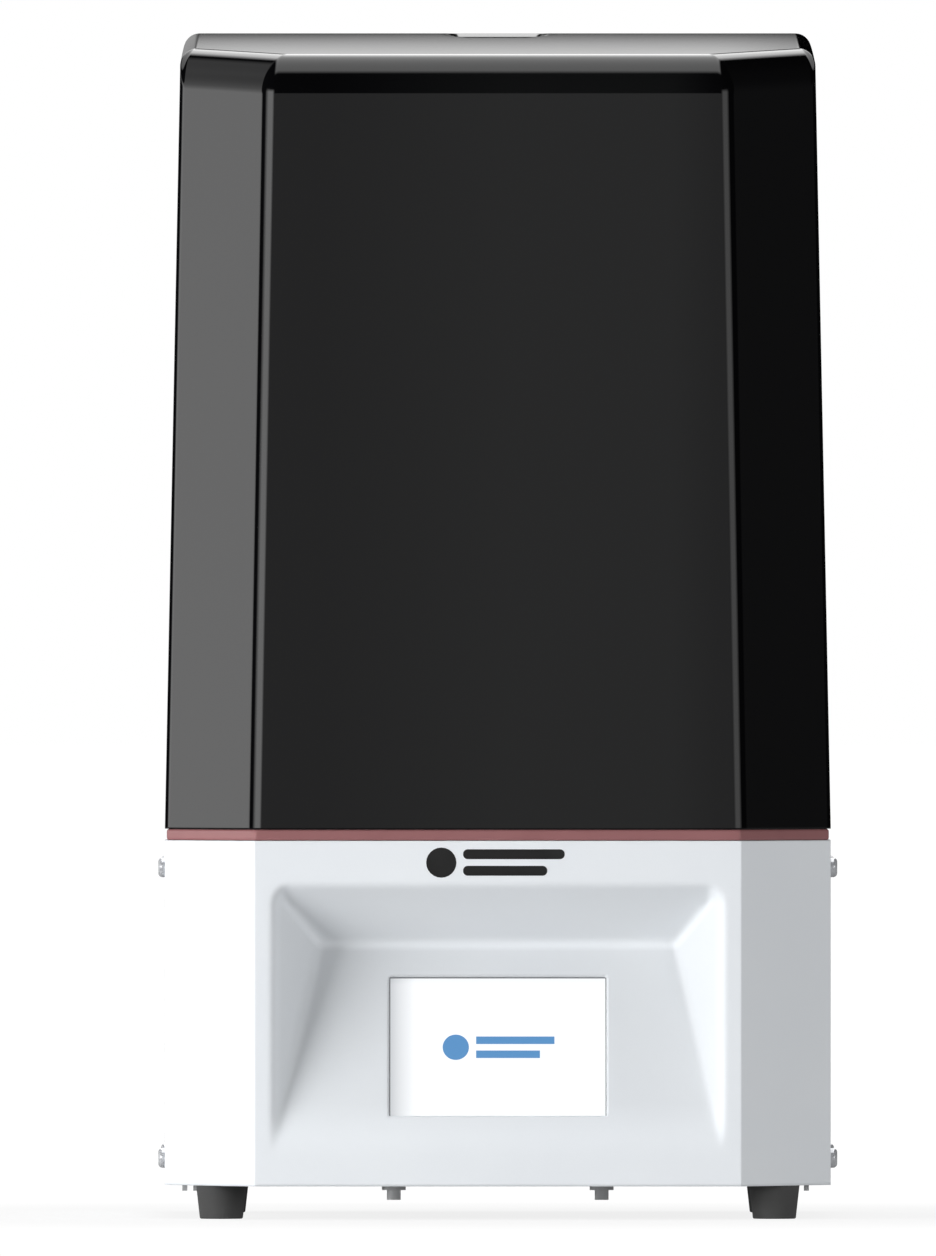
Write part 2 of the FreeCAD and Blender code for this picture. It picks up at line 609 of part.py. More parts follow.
def hood_form(name, inset):
    """The hood's outer form, or its inner form moved inwards: a tapered prism with a sloping top."""
    inset = size(inset)
    body = new_body(name)
    loft = body.newObject("PartDesign::AdditiveLoft", f"{name}_loft")
    loft.Profile = new_sketch(body, "Z", D.seal_top, [base_outline(inset)])
    loft.Sections = [new_sketch(body, "Z", D.hood_back_top, [hood_top_outline(inset)])]
    loft.Ruled = True
    roof = D.hood_back_top - inset
    length = D.hood_top_front + D.hood_top_back
    reach = 20
    front_roof = roof - D.hood_front_drop * (length + reach) / length
    take(body, "X", -D.half_width, D.half_width, [
        (-D.hood_top_front - reach, front_roof), (D.hood_top_back, roof),
        (D.hood_top_back + reach, roof), (D.hood_top_back + reach, roof + reach),
        (-D.hood_top_front - reach, roof + reach)])
    doc.recompute()
    edges = []
    for index, edge in enumerate(body.Shape.Edges, start=1):
        radius = hood_edge_radius(edge)
        if radius is not None:
            edges.append((index, radius.value - inset.value, radius.value - inset.value))
    rounded = doc.addObject("Part::Fillet", f"{name}_rounded")
    rounded.Base = body
    rounded.Edges = [(index, max(start, 0.6), max(end, 0.6)) for index, start, end in edges]
    return rounded


def hood_edge_radius(edge):
    """The radius of each of the hood's edges, told apart by where they run."""
    ends = [vertex.Point for vertex in edge.Vertexes]
    middle = (ends[0] + ends[1]) * 0.5
    if abs(ends[0].z - ends[1].z) > 100:
        if middle.y > 0:
            return D.rear_round
        return D.hood_edge_round if middle.y < -100 else D.hood_flank_round
    if min(ends[0].z, ends[1].z) < 300:
        return None
    if middle.y < -80:
        return D.hood_front_round
    return D.hood_side_round


def make_hood_shell():
    shell = joined("Cut", "hood_hollow", hood_form("hood_outer", 0), hood_form("hood_inner", D.hood_wall))
    grip = solid("hood_grip", "Y", D.hood_top_back - D.grip_length, D.half_depth + 1, rectangle(
        -D.grip_half, D.grip_half, D.hood_back_top - D.grip_depth, D.hood_back_top + 1))
    return node(joined("Cut", "hood_gripped", shell, grip), "hood_shell")


# ---------------------------------------------------------------------------
# Exposure screen, lamp and cooling
# ---------------------------------------------------------------------------

SCREEN_BOTTOM = D.base_top - D.screen_thick
LAMP_TOP = D.lamp_bottom + D.lamp_thick


def about_screen(half_x, half_y):
    return rectangle(-half_x, half_x, D.screen_y - half_y, D.screen_y + half_y)


def make_screen_and_lamp():
    screen = solid("lcd_panel", "Z", SCREEN_BOTTOM, D.base_top,
                   about_screen(D.screen_half_x, D.screen_half_y))
    node(screen, "lcd_panel")
    tape = solid("lcd_gasket", "Z", D.base_top, D.base_top + D.tape_thick,
                 about_screen(D.tape_half_x, D.tape_half_y),
                 about_screen(D.tape_half_x - D.tape_width, D.tape_half_y - D.tape_width))
    node(tape, "lcd_gasket")
    shroud = solid("light_shroud", "Z", LAMP_TOP, SCREEN_BOTTOM,
                   about_screen(D.shroud_half_x, D.shroud_half_y),
                   about_screen(D.shroud_half_x - D.shroud_wall, D.shroud_half_y - D.shroud_wall))
    node(shroud, "light_shroud")
    lamp = solid("led_board", "Z", D.lamp_bottom, LAMP_TOP, about_screen(D.lamp_half_x, D.lamp_half_y))
    lenses = [Circle(x, D.screen_y + y, D.lens_radius)
              for x in range(-60, 61, 20) for y in (-30, -10, 10, 30)]
    add(lamp, "Z", LAMP_TOP, LAMP_TOP + D.lens_height, *lenses)
    node(lamp, "led_board")
    base_low = D.lamp_bottom - D.sink_base
    sink = solid("heat_sink", "Z", base_low, D.lamp_bottom, about_screen(D.sink_half_x, D.sink_half_y))
    fins = [rectangle(x * D.fin_pitch - D.fin_thick / 2, x * D.fin_pitch + D.fin_thick / 2,
                      D.screen_y - D.sink_half_y, D.screen_y + D.sink_half_y) for x in range(-9, 10)]
    add(sink, "Z", base_low - D.fin_height, base_low, *fins)
    studs = [Circle(x * D.stud_x, D.screen_y, D.stud_radius + 1) for x in (-1, 1)]
    take(sink, "Z", base_low - D.fin_height, base_low, *studs)
    take(sink, "Z", base_low - D.fin_height, base_low - D.fin_height + 3, *fan_screw_holes(D.small_shank))
    node(sink, "heat_sink")
    stud = solid("stud", "Z", D.base_bottom - D.stud_drop, base_low, Circle(0, 0, D.stud_radius))
    add(stud, "Z", D.base_bottom - D.nut_thick, D.base_bottom, Circle(0, 0, D.nut_radius))
    copies("heat_sink_studs", stud, [(x * D.stud_x, D.screen_y, 0, UP) for x in (-1, 1)])


def fan_screw_holes(radius):
    pitch = D.fan_screw_pitch
    return [Circle(x * pitch, D.screen_y + y * pitch, radius) for x in (-1, 1) for y in (-1, 1)]


def make_fan():
    top = D.fan_bottom + D.fan_thick
    frame = solid("fan_frame", "Z", D.fan_bottom, top, about_screen(D.fan_half, D.fan_half))
    take(frame, "Z", D.fan_bottom, top, Circle(0, D.screen_y, D.fan_bore))
    spoke_top = D.fan_bottom + D.fan_spoke
    half, reach = D.fan_spoke_half, D.fan_spoke_reach
    add(frame, "Z", D.fan_bottom, spoke_top, Circle(0, D.screen_y, D.fan_hub + 1))
    for low_x, high_x, low_y, high_y in ((-reach, -D.fan_hub, -half, half), (D.fan_hub, reach, -half, half),
                                         (-half, half, -reach, -D.fan_hub), (-half, half, D.fan_hub, reach)):
        add(frame, "Z", D.fan_bottom, spoke_top,
            rectangle(low_x, high_x, D.screen_y + low_y, D.screen_y + high_y))
    take(frame, "Z", D.fan_bottom, top, *fan_screw_holes(D.small_shank + D.fit))
    node(frame, "fan_frame")
    hub_top = top - D.fan_gap
    rotor = solid("fan_rotor", "Z", spoke_top + D.fan_gap / 2, hub_top, Circle(0, 0, D.fan_hub))
    round_edges(rotor, D.fan_gap, level_at(hub_top))
    root_x = D.fan_hub - 1
    blade = add(rotor, "Z", spoke_top + 1.5 * D.fan_gap, hub_top - D.fan_gap,
                [(root_x, -3), (20, 0), (D.fan_tip, 5), (D.fan_tip - 1, 7.5), (19, 2.5), (root_x, -0.5)])
    spin_pattern(rotor, blade, 7)
    node(place(rotor, 0, D.screen_y, 0), "fan_rotor")


# ---------------------------------------------------------------------------
# Electronics
# ---------------------------------------------------------------------------

# What stands on the main board, in plan: x_low, x_high, y_low, y_high, or x, y for the round cans.
CHIPS = ((-72, -54, 58, 76),)
SMALL_CHIPS = ((-84, -76, 60, 72), (-48, -40, 50, 58), (-48, -40, 66, 74))
SOCKETS = ((-90, -70, 38, 44), (-66, -46, 38, 44), (-92, -86, 52, 84))
CANS = ((-34, 45), (-34, 56), (-34, 67))


def make_electronics():
    low = D.base_bottom + D.plate
    board = solid("main_board", "Z", D.board_bottom, D.board_bottom + D.board_thick,
                  rectangle(D.board_left, D.board_right, D.board_front, D.board_back))
    corners = [(x, y) for x in (D.board_left + D.post_inset, D.board_right - D.post_inset)
               for y in (D.board_front + D.post_inset, D.board_back - D.post_inset)]
    take(board, "Z", D.board_bottom, D.board_bottom + D.board_thick,
         *[Circle(x, y, D.small_shank + D.fit) for x, y in corners])
    node(board, "main_board")
    post = solid("board_post", "Z", low, D.board_bottom, Circle(0, 0, D.post_radius))
    copies("board_posts", post, [(x, y, 0, UP) for x, y in corners])
    top = D.board_bottom + D.board_thick
    parts = solid("board_parts", "Z", top, top + D.chip_height, *[rectangle(*plan) for plan in CHIPS])
    add(parts, "Z", top, top + D.small_chip_height, *[rectangle(*plan) for plan in SMALL_CHIPS])
    add(parts, "Z", top, top + D.can_height, *[Circle(x, y, D.can_radius) for x, y in CANS])
    add(parts, "Z", top, top + D.socket_height, *[rectangle(*plan) for plan in SOCKETS])
    node(parts, "board_parts")


def make_rear_fittings():
    x, z = D.inlet_x, D.fitting_z
    face = PANEL_FACE + D.fitting_proud
    back = PANEL_FACE - D.inlet_depth
    inlet = solid("power_inlet", "Y", back, PANEL_FACE, Circle(x, z, D.inlet_radius))
    add(inlet, "Y", PANEL_FACE, face, Circle(x, z, D.inlet_radius + D.inlet_rim))
    take(inlet, "Y", back + D.inlet_floor, face, Circle(x, z, D.inlet_jack))
    add(inlet, "Y", back + 1, PANEL_FACE - 1, Circle(x, z, D.inlet_pin))
    node(inlet, "power_inlet")
    make_power_switch()

    usb_x = (D.usb_x - D.usb_half_x, D.usb_x + D.usb_half_x)
    usb_z = (z - D.usb_half_z, z + D.usb_half_z)
    usb_back, usb_face = PANEL_FACE - D.usb_depth, PANEL_FACE + D.usb_proud
    usb = solid("usb_port", "Y", usb_back, usb_face, rectangle(*usb_x, *usb_z))
    take(usb, "Y", usb_back + D.usb_floor, usb_face, rectangle(
        usb_x[0] + D.usb_wall, usb_x[1] - D.usb_wall, usb_z[0] + D.usb_wall, usb_z[1] - D.usb_wall))
    add(usb, "Y", usb_back + D.usb_floor, PANEL_FACE - 2, rectangle(
        usb_x[0] + D.usb_tongue_inset, usb_x[1] - D.usb_tongue_inset, z + D.usb_tongue_low,
        z + D.usb_tongue_high))
    node(usb, "usb_port")


def make_power_switch():
    z, rim, wall = D.fitting_z, D.switch_rim, D.switch_wall
    face = PANEL_FACE + D.fitting_proud
    low_x, high_x = D.switch_x - D.switch_half_x, D.switch_x + D.switch_half_x
    low_z, high_z = z - D.switch_half_z, z + D.switch_half_z
    body = solid("switch_body", "Y", PANEL_FACE - D.switch_depth, PANEL_FACE,
                 rectangle(low_x, high_x, low_z, high_z))
    add(body, "Y", PANEL_FACE, face, rectangle(low_x - rim, high_x + rim, low_z - rim, high_z + rim))
    take(body, "Y", PANEL_FACE - D.switch_well, face,
         rectangle(low_x + wall, high_x - wall, low_z + wall, high_z - wall))
    node(body, "switch_body")

    gap = D.rocker_gap
    half = D.switch_half_z - wall - 2 * gap
    rocker = solid("power_rocker", "X", low_x + wall + gap, high_x - wall - gap,
                   [(PANEL_FACE - 1, z - half), (PANEL_FACE + 2.4, z - half), (PANEL_FACE + 1.2, z),
                    (PANEL_FACE + 0.2, z + half), (PANEL_FACE - 1.6, z + half), (PANEL_FACE - 3, z)])
    node(rocker, "power_rocker")


def make_display():
    """The display, drawn with its front towards -Y and then leaned back."""
    half_x = D.window_width / 2
    half_z = D.window_height / 2
    glass_face = D.wall + D.glass_gap
    module_face = glass_face + D.glass_thick
    board_face = module_face + D.module_thick

    def upright_plate(name, low, high, margin):
        rim = rectangle(-half_x - margin, half_x + margin, -half_z - margin, half_z + margin)
        return solid(name, "Y", low, high, rim)

    glass = upright_plate("touch_glass", glass_face, module_face, D.glass_margin)
    node(leaned(glass), "touch_glass")
    module = upright_plate("display_module", module_face, board_face, D.module_margin)
    node(leaned(module), "display_module")
    board_low = board_face + D.display_gap
    board_high = board_low + D.display_board
    board = upright_plate("display_board", board_low, board_high, D.module_margin)
    add(board, "Y", board_face, board_low, rectangle(-20, 20, -10, 10))
    add(board, "Y", board_high, board_high + D.display_chip, rectangle(-12, 12, -6, 8),
        rectangle(-28, -18, -16, -10))
    node(leaned(board), "display_board")


# ---------------------------------------------------------------------------
# Vertical drive
# ---------------------------------------------------------------------------

def hexagon(radius):
    return [(radius * math.cos(turn * math.pi / 3), radius * math.sin(turn * math.pi / 3))
            for turn in range(6)]


def make_drive():
    column = solid("z_column", "Z", D.base_top, D.column_top,
                   rectangle(-D.column_half, D.column_half, D.column_front, D.column_back))
    take(column, "Y", D.column_front + D.column_wall, D.column_back, rectangle(
        D.column_wall - D.column_half, D.column_half - D.column_wall,
        D.base_top + D.column_end, D.column_top - D.column_end))
    round_edges(column, 3, upright_at((D.column_half, D.column_front), (-D.column_half, D.column_front)))
    node(column, "z_column")

    rail_x = (D.rail_x - D.rail_half, D.rail_x + D.rail_half)
    rail = solid("linear_rail", "Z", D.rail_bottom, D.rail_top,
                 rectangle(*rail_x, D.rail_front, D.column_front))
    rows = [D.rail_bottom + D.rail_pitch * (step + 0.5) for step in range(9)]
    take(rail, "Y", D.rail_front, D.rail_front + D.rail_seat_depth,
         *[Circle(D.rail_x, row, D.rail_seat) for row in rows])
    node(rail, "linear_rail")
    cap = solid("rail_screw", "Z", D.rail_head_low, D.rail_head_top, Circle(0, 0, D.rail_head))
    take(cap, "Z", D.rail_hex_low, D.rail_head_top, hexagon(D.rail_hex))
    copies("rail_screws", cap, [(D.rail_x, D.rail_front, row, FORWARD) for row in rows])

    bracket_x = (D.screw_x - D.bracket_half, D.screw_x + D.bracket_half)
    bracket_top = D.bearing_bottom + D.bracket_thick
    bracket = solid("bearing_bracket", "Z", D.bearing_bottom, bracket_top,
                    rectangle(*bracket_x, D.bracket_front, D.column_front))
    take(bracket, "Z", D.bearing_bottom, bracket_top, Circle(D.screw_x, D.screw_y, D.bearing_radius))
    round_edges(bracket, 4, upright_at((bracket_x[0], D.bracket_front), (bracket_x[1], D.bracket_front)))
    node(bracket, "bearing_bracket")
    bearing = solid("top_bearing", "Z", D.bearing_bottom + D.bearing_inset, bracket_top - D.bearing_inset,
                    Circle(D.screw_x, D.screw_y, D.bearing_radius),
                    Circle(D.screw_x, D.screw_y, D.screw_radius + D.screw_fit))
    node(bearing, "top_bearing")

    sensor_x = (D.flag_x - D.sensor_half, D.flag_x + D.sensor_half)
    sensor = solid("limit_sensor", "Z", D.sensor_bottom, D.sensor_top,
                   rectangle(*sensor_x, D.column_front - D.sensor_depth, D.column_front))
    take(sensor, "Z", D.sensor_bottom, D.sensor_top, rectangle(
        D.flag_x - D.sensor_slot, D.flag_x + D.sensor_slot, D.column_front - D.sensor_depth,
        D.column_front - D.sensor_back))
    node(sensor, "limit_sensor")

    motor_low = SCREEN_BOTTOM - D.motor_height
    square = rectangle(D.screw_x - D.motor_half, D.screw_x + D.motor_half,
                       D.screw_y - D.motor_half, D.screw_y + D.motor_half)
    motor = solid("stepper_motor", "Z", motor_low, SCREEN_BOTTOM, square)
    bevel_edges(motor, 3, upright)
    add(motor, "Z", SCREEN_BOTTOM, SCREEN_BOTTOM + D.boss_height, Circle(D.screw_x, D.screw_y, D.boss_radius))
    take(motor, "Z", motor_low + D.motor_wall, SCREEN_BOTTOM - D.motor_wall,
         Circle(D.screw_x, D.screw_y, D.rotor_radius + D.rotor_gap))
    take(motor, "Z", motor_low, SCREEN_BOTTOM + D.boss_height,
         Circle(D.screw_x, D.screw_y, D.screw_radius + D.screw_fit))
    node(motor, "stepper_motor")
    rotor = solid("motor_rotor", "Z", motor_low + D.motor_wall + 1, SCREEN_BOTTOM - D.motor_wall - 1,
                  Circle(0, 0, D.rotor_radius), Circle(0, 0, D.screw_radius))
    node(place(rotor, D.screw_x, D.screw_y, 0), "motor_rotor")
    screw = solid("lead_screw", "Z", motor_low + D.rotor_gap, D.screw_top, Circle(0, 0, D.screw_radius))
    bevel_edges(screw, 0.8, level_at(D.screw_top))
    node(place(screw, D.screw_x, D.screw_y, 0), "lead_screw")


def make_fan_screws():
    screw = pan_screw("fan_screw", D.small_head, D.small_head_height, D.small_shank, D.fan_thick + 3)
    places = [(x * D.fan_screw_pitch, D.screen_y + y * D.fan_screw_pitch, D.fan_bottom, DOWN)
              for x in (-1, 1) for y in (-1, 1)]
    copies("fan_screws", screw, places)


def make_carriage():
    rail_x = (D.rail_x - D.rail_half - D.slide_fit, D.rail_x + D.rail_half + D.slide_fit)
    block = solid("rail_block", "Z", D.block_bottom, D.block_top, rectangle(
        D.rail_x - D.block_half, D.rail_x + D.block_half, D.block_front, D.block_back))
    take(block, "Z", D.block_bottom, D.block_top,
         rectangle(*rail_x, D.rail_front - D.slide_fit, D.block_back))
    node(block, "rail_block")

    block_holes = [(x, z) for x in (-24, -4) for z in (235, 255)]
    nut_holes = [(x, z) for x in (12, 24) for z in (241, 249)]
    holes = block_holes + nut_holes
    plate = solid("carriage_plate", "Y", D.plate_front, D.block_front,
                  rectangle(-D.plate_half, D.plate_half, D.plate_bottom, D.plate_top))
    take(plate, "Y", D.plate_front, D.block_front, *[Circle(x, z, D.plate_screw) for x, z in holes])
    bevel_edges(plate, D.plate_corner, lambda edge: runs_back_at(edge, D.plate_half))
    node(plate, "carriage_plate")

    nut = solid("lead_nut", "Z", D.nut_bottom, D.nut_top, rectangle(
        D.screw_x - D.nut_half, D.screw_x + D.nut_half, D.block_front, D.nut_back))
    take(nut, "Z", D.nut_bottom, D.nut_top, Circle(D.screw_x, D.screw_y, D.screw_radius + D.screw_fit))
    node(nut, "lead_nut")

    flag = solid("limit_flag", "X", D.flag_x - D.flag_half, D.flag_x + D.flag_half,
                 rectangle(D.block_front, D.flag_back, D.flag_bottom, D.flag_top))
    node(flag, "limit_flag")

    arm = solid("platform_arm", "Z", D.arm_bottom, D.arm_top,
                rectangle(-D.arm_half, D.arm_half, D.arm_front, D.plate_front))
    add(arm, "Z", D.tongue_bottom, D.tongue_top,
        rectangle(-D.tongue_half, D.tongue_half, D.tongue_front, D.arm_front))
    take(arm, "Z", D.arm_bottom, D.arm_top, rectangle(
        -D.arm_hole_half, D.arm_hole_half, D.arm_hole_front, D.arm_hole_back))
    round_edges(arm, 2, lambda edge: runs_back_at(edge, D.arm_half))
    node(arm, "platform_arm")

    screw = pan_screw("carriage_screw", D.small_head, D.small_head_height, D.plate_screw,
                      D.block_front - D.plate_front)
    beside_arm = [(x, z) for x, z in holes if abs(x) > D.arm_half.value]
    copies("carriage_screws", screw, [(x, D.plate_front, z, FORWARD) for x, z in beside_arm])


def runs_back_at(edge, half):
    """True for an edge that runs along Y at x = half or x = -half."""
    box = edge.BoundBox
    along_y = box.YLength > 1 and box.XLength < 1e-6 and box.ZLength < 1e-6
    return along_y and abs(abs(box.XMin) - half.value) < 1e-4


# ---------------------------------------------------------------------------
# Platform
# ---------------------------------------------------------------------------

def ball(name, radius):
    sphere = doc.addObject("Part::Sphere", name)
    bind(sphere, Radius=radius)
    return place(sphere, 0, D.screen_y, D.ball_z)


def make_platform():
    gap = D.fit
    holder = solid("mount_block", "Z", D.holder_bottom, D.holder_top, rectangle(
        -D.holder_half, D.holder_half, D.holder_front, D.arm_front))
    take(holder, "Y", D.tongue_front - gap, D.arm_front, rectangle(
        -D.tongue_half - gap, D.tongue_half + gap, D.tongue_bottom - gap, D.tongue_top + gap))
    take(holder, "Z", D.tongue_top, D.holder_top, Circle(0, D.screen_y, D.knob_screw_radius + D.fit))
    round_edges(holder, 3, upright_at((-D.holder_half, D.holder_front), (D.holder_half, D.holder_front)))
    bevel_edges(holder, 1.5, level_at(D.holder_top))
    node(holder, "mount_block")

    stem = doc.addObject("Part::Cylinder", "ball_neck")
    bind(stem, Radius=D.stem_radius, Height=D.holder_bottom - D.ball_z)
    place(stem, 0, D.screen_y, D.ball_z)
    node(joined("Fuse", "ball_stem_whole", ball("stem_ball", D.ball_radius), stem), "ball_stem")

    deck_top = D.deck_bottom + D.deck_thick
    deck = solid("build_platform", "Z", D.deck_bottom, deck_top, about_screen(D.deck_half_x, D.deck_half_y))
    round_edges(deck, 3, upright)
    bevel_edges(deck, 3, level_at(deck_top))
    node(deck, "build_platform")

    collar = solid("socket_collar", "Z", deck_top, D.socket_top, Circle(0, D.screen_y, D.socket_radius))
    round_edges(collar, 2, level_at(D.socket_top))
    holes = new_body("level_holes")
    middle = deck_top + D.level_rise
    reach = D.socket_radius
    add(holes, "X", -reach - 1, reach + 1, Circle(D.screen_y, middle, D.level_radius))
    add(holes, "Y", D.screen_y - reach - 1, D.screen_y + reach + 1, Circle(0, middle, D.level_radius))
    hollow = joined("Cut", "socket_hollow", collar, ball("socket_ball", D.ball_radius + D.ball_fit))
    node(joined("Cut", "socket_drilled", hollow, holes), "ball_socket")

    setter = solid("level_screw", "Z", D.level_tip, D.level_top, Circle(0, 0, D.level_radius))
    add(setter, "Z", D.level_seat, D.level_top, Circle(0, 0, D.level_head))
    take(setter, "Z", D.level_hex_low, D.level_top, hexagon(D.level_hex))
    copies("level_screws", setter, [
        (reach, D.screen_y, middle, RIGHTWARD), (-reach, D.screen_y, middle, LEFTWARD),
        (0, D.screen_y - reach, middle, FORWARD), (0, D.screen_y + reach, middle, BACKWARD)])

    knob = solid("platform_knob", "Z", 0, D.knob_height, Circle(0, 0, D.knob_radius))
    round_edges(knob, D.knob_round, level_at(D.knob_height))
    groove = take(knob, "Z", 0, D.knob_height, Circle(D.knob_radius + D.groove_out, 0, D.groove_radius))
    spin_pattern(knob, groove, 12)
    add(knob, "Z", D.tongue_top + D.knob_tip_gap - D.knob_bottom, 0, Circle(0, 0, D.knob_screw_radius))
    node(place(knob, 0, D.screen_y, D.knob_bottom), "platform_knob")


# ---------------------------------------------------------------------------
# Vat
# ---------------------------------------------------------------------------

def plan_corners(half_x, front, back):
    return [(x, y) for x in (-half_x, half_x) for y in (front, back)]


def make_vat():
    lap = D.film_lap
    hollow = (-D.tank_half_x, D.tank_half_x, D.tank_front, D.tank_back)
    ring_out = rectangle(-D.tank_half_x - lap - 1, D.tank_half_x + lap + 1, D.tank_front - lap,
                         D.tank_back + lap)
    ring_in = rectangle(-D.tank_half_x - 1, D.tank_half_x + 1, D.tank_front - 1, D.tank_back + 1)
    film_top = D.vat_bottom + D.film_thick
    ring_top = film_top + D.ring_thick

    frame = solid("vat_frame", "Z", D.vat_bottom, D.vat_top,
                  rectangle(-D.vat_half_x, D.vat_half_x, D.vat_front, D.vat_back))
    round_edges(frame, D.vat_round, upright)
    for side in (-1, 1):
        inner, outer = side * D.vat_half_x, side * D.ear_half_x
        low, high = (inner, outer) if side > 0 else (outer, inner)
        add(frame, "Z", D.base_top, D.base_top + D.ear_thick, rectangle(low, high, D.ear_front, D.ear_back))
    take(frame, "Z", D.vat_bottom, D.vat_top, rectangle(*hollow))
    round_edges(frame, D.tank_round, upright_at(*plan_corners(D.tank_half_x, D.tank_front, D.tank_back)))
    take(frame, "Z", D.vat_bottom, film_top, ring_out)
    take(frame, "Z", film_top, ring_top, ring_out, ring_in)
    take(frame, "Y", D.vat_front, D.tank_front + 1, [
        (D.spout_x - D.spout_half, D.vat_top), (D.spout_x, D.vat_top - D.spout_depth),
        (D.spout_x + D.spout_half, D.vat_top)])
    node(frame, "vat_frame")

    film = solid("vat_film", "Z", D.vat_bottom, film_top, ring_out)
    node(film, "vat_film")
    ring = solid("film_ring", "Z", film_top, ring_top, ring_out, ring_in)
    node(ring, "film_ring")


def make_vat_rails():
    for side, name in ((-1, "left"), (1, "right")):
        profile = [(side * D.leg_outer, D.base_top), (side * D.leg_inner, D.base_top),
                   (side * D.leg_inner, D.lip_bottom), (side * D.lip_inner, D.lip_bottom),
                   (side * D.lip_inner, D.lip_top), (side * D.leg_outer, D.lip_top)]
        rail = solid(f"vat_rail_{name}", "Y", D.ear_front, D.ear_back, profile)
        take(rail, "Z", D.lip_bottom, D.lip_top, Circle(side * D.clamp_x, D.clamp_y, D.clamp_radius + D.fit))
        bevel_edges(rail, 1, lambda edge: edge.BoundBox.YLength > 50 and level_at(D.lip_top)(edge))
        node(rail, f"vat_rail_{name}")

        knob_low = D.lip_top + D.clamp_gap
        clamp = solid(f"vat_screw_{name}", "Z", knob_low, knob_low + D.clamp_knob_height,
                      Circle(0, 0, D.clamp_knob))
        round_edges(clamp, D.clamp_round, level_at(knob_low + D.clamp_knob_height))
        groove = take(clamp, "Z", knob_low, knob_low + D.clamp_knob_height,
                      Circle(D.clamp_knob + D.clamp_groove_out, 0, D.clamp_groove))
        spin_pattern(clamp, groove, 12)
        add(clamp, "Z", D.base_top + D.ear_thick + D.knob_tip_gap, knob_low, Circle(0, 0, D.clamp_radius))
        node(place(clamp, side * D.clamp_x, D.clamp_y, 0), f"vat_screw_{name}")


# ---------------------------------------------------------------------------
# Assembly and export
# ---------------------------------------------------------------------------

for maker in (make_base_housing, make_bottom_plate, make_back_panel, make_back_screws, make_feet,
              make_side_screws, make_top_deck, make_seal, make_hood_shell, make_screen_and_lamp, make_fan,
              make_electronics, make_rear_fittings, make_display, make_drive, make_fan_screws,
              make_carriage, make_platform, make_vat, make_vat_rails):
    maker()
doc.recompute()

failed = [item.Label for item in doc.Objects if "Invalid" in item.State or "Error" in item.State]
if failed:
    raise SystemExit(f"failed objects: {failed}")
for name, piece in NODES.items():
    if piece.Shape.isNull() or not piece.Shape.isValid() or not piece.Shape.Solids:
        raise SystemExit(f"{name} has no valid solid")

os.makedirs("parts", exist_ok=True)
for name, piece in NODES.items():
    piece.Shape.exportStep(f"parts/{name}.step")
    print(f"{name}: {len(piece.Shape.Solids)} solids, {piece.Shape.Volume:.0f} mm3")
print(f"{len(NODES)} sub-parts")
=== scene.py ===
# %% [markdown]
# # A resin printer
#
# A desktop resin printer is two boxes.  The lower one is a white painted housing that holds the
# electronics and a lit screen.  The upper one is a smoke-dark plastic hood that lifts off, because the
# light that cures the resin must not reach the room.  Everything that moves is under the hood.
#
# The engineering parts come in first, with their real sizes and joints.  The cells below add the
# surfaces that the eye reads most (hood, housing, seal, screen, thread and knobs) as smooth
# meshes worked out from formulas, and give every part a finish.

# %% The frame
import math

import bpy
import numpy as np
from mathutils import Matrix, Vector


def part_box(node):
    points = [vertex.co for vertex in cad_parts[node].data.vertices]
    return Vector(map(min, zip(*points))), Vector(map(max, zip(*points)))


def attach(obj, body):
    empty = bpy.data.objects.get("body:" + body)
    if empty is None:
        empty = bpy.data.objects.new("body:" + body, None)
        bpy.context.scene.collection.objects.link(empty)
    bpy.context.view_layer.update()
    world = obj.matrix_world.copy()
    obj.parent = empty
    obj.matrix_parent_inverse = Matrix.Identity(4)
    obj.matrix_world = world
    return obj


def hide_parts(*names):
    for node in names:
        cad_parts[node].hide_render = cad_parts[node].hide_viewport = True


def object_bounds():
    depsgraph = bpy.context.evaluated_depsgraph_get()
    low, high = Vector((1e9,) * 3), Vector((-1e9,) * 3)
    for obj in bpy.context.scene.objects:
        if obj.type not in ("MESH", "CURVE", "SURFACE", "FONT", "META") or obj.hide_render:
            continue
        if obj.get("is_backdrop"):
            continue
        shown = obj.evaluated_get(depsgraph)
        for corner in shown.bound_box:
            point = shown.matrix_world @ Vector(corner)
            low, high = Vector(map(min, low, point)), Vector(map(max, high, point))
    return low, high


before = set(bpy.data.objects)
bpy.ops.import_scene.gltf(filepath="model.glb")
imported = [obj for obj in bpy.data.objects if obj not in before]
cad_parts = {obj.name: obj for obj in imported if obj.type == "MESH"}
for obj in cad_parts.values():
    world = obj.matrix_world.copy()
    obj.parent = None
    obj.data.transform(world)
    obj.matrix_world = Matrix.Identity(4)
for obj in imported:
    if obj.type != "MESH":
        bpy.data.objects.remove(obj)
cad_box = [list(corner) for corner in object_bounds()]
MM = 0.001

# %% [markdown]
# ## Sizes
#
# Lengths are in metres here, so `MM` turns the workshop's millimetres into them.  The outside of the
# housing and of the hood are read from the frame.  The plan is a square whose two front corners are
# cut off, and the same six corners describe the housing, the seal and the foot of the hood.  `SKIN`
# is how far a new surface stays inside the part that it stands for, so that the box never grows.

# %% The plan and its measures
housing_low, housing_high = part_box("base_housing")
hood_low, hood_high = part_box("hood_shell")
seal_low, seal_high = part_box("hood_seal_ring")

HALF_WIDTH = housing_high.x
FRONT, BACK = housing_low.y, housing_high.y
SKIN = 0.06 * MM
CHAMFER_X, CHAMFER_Y = 31 * MM, 42 * MM
LEAN = math.radians(16)
RECESS_HALF, RECESS_LOW, RECESS_HIGH = 77.5 * MM, 26.5 * MM, 115.3 * MM


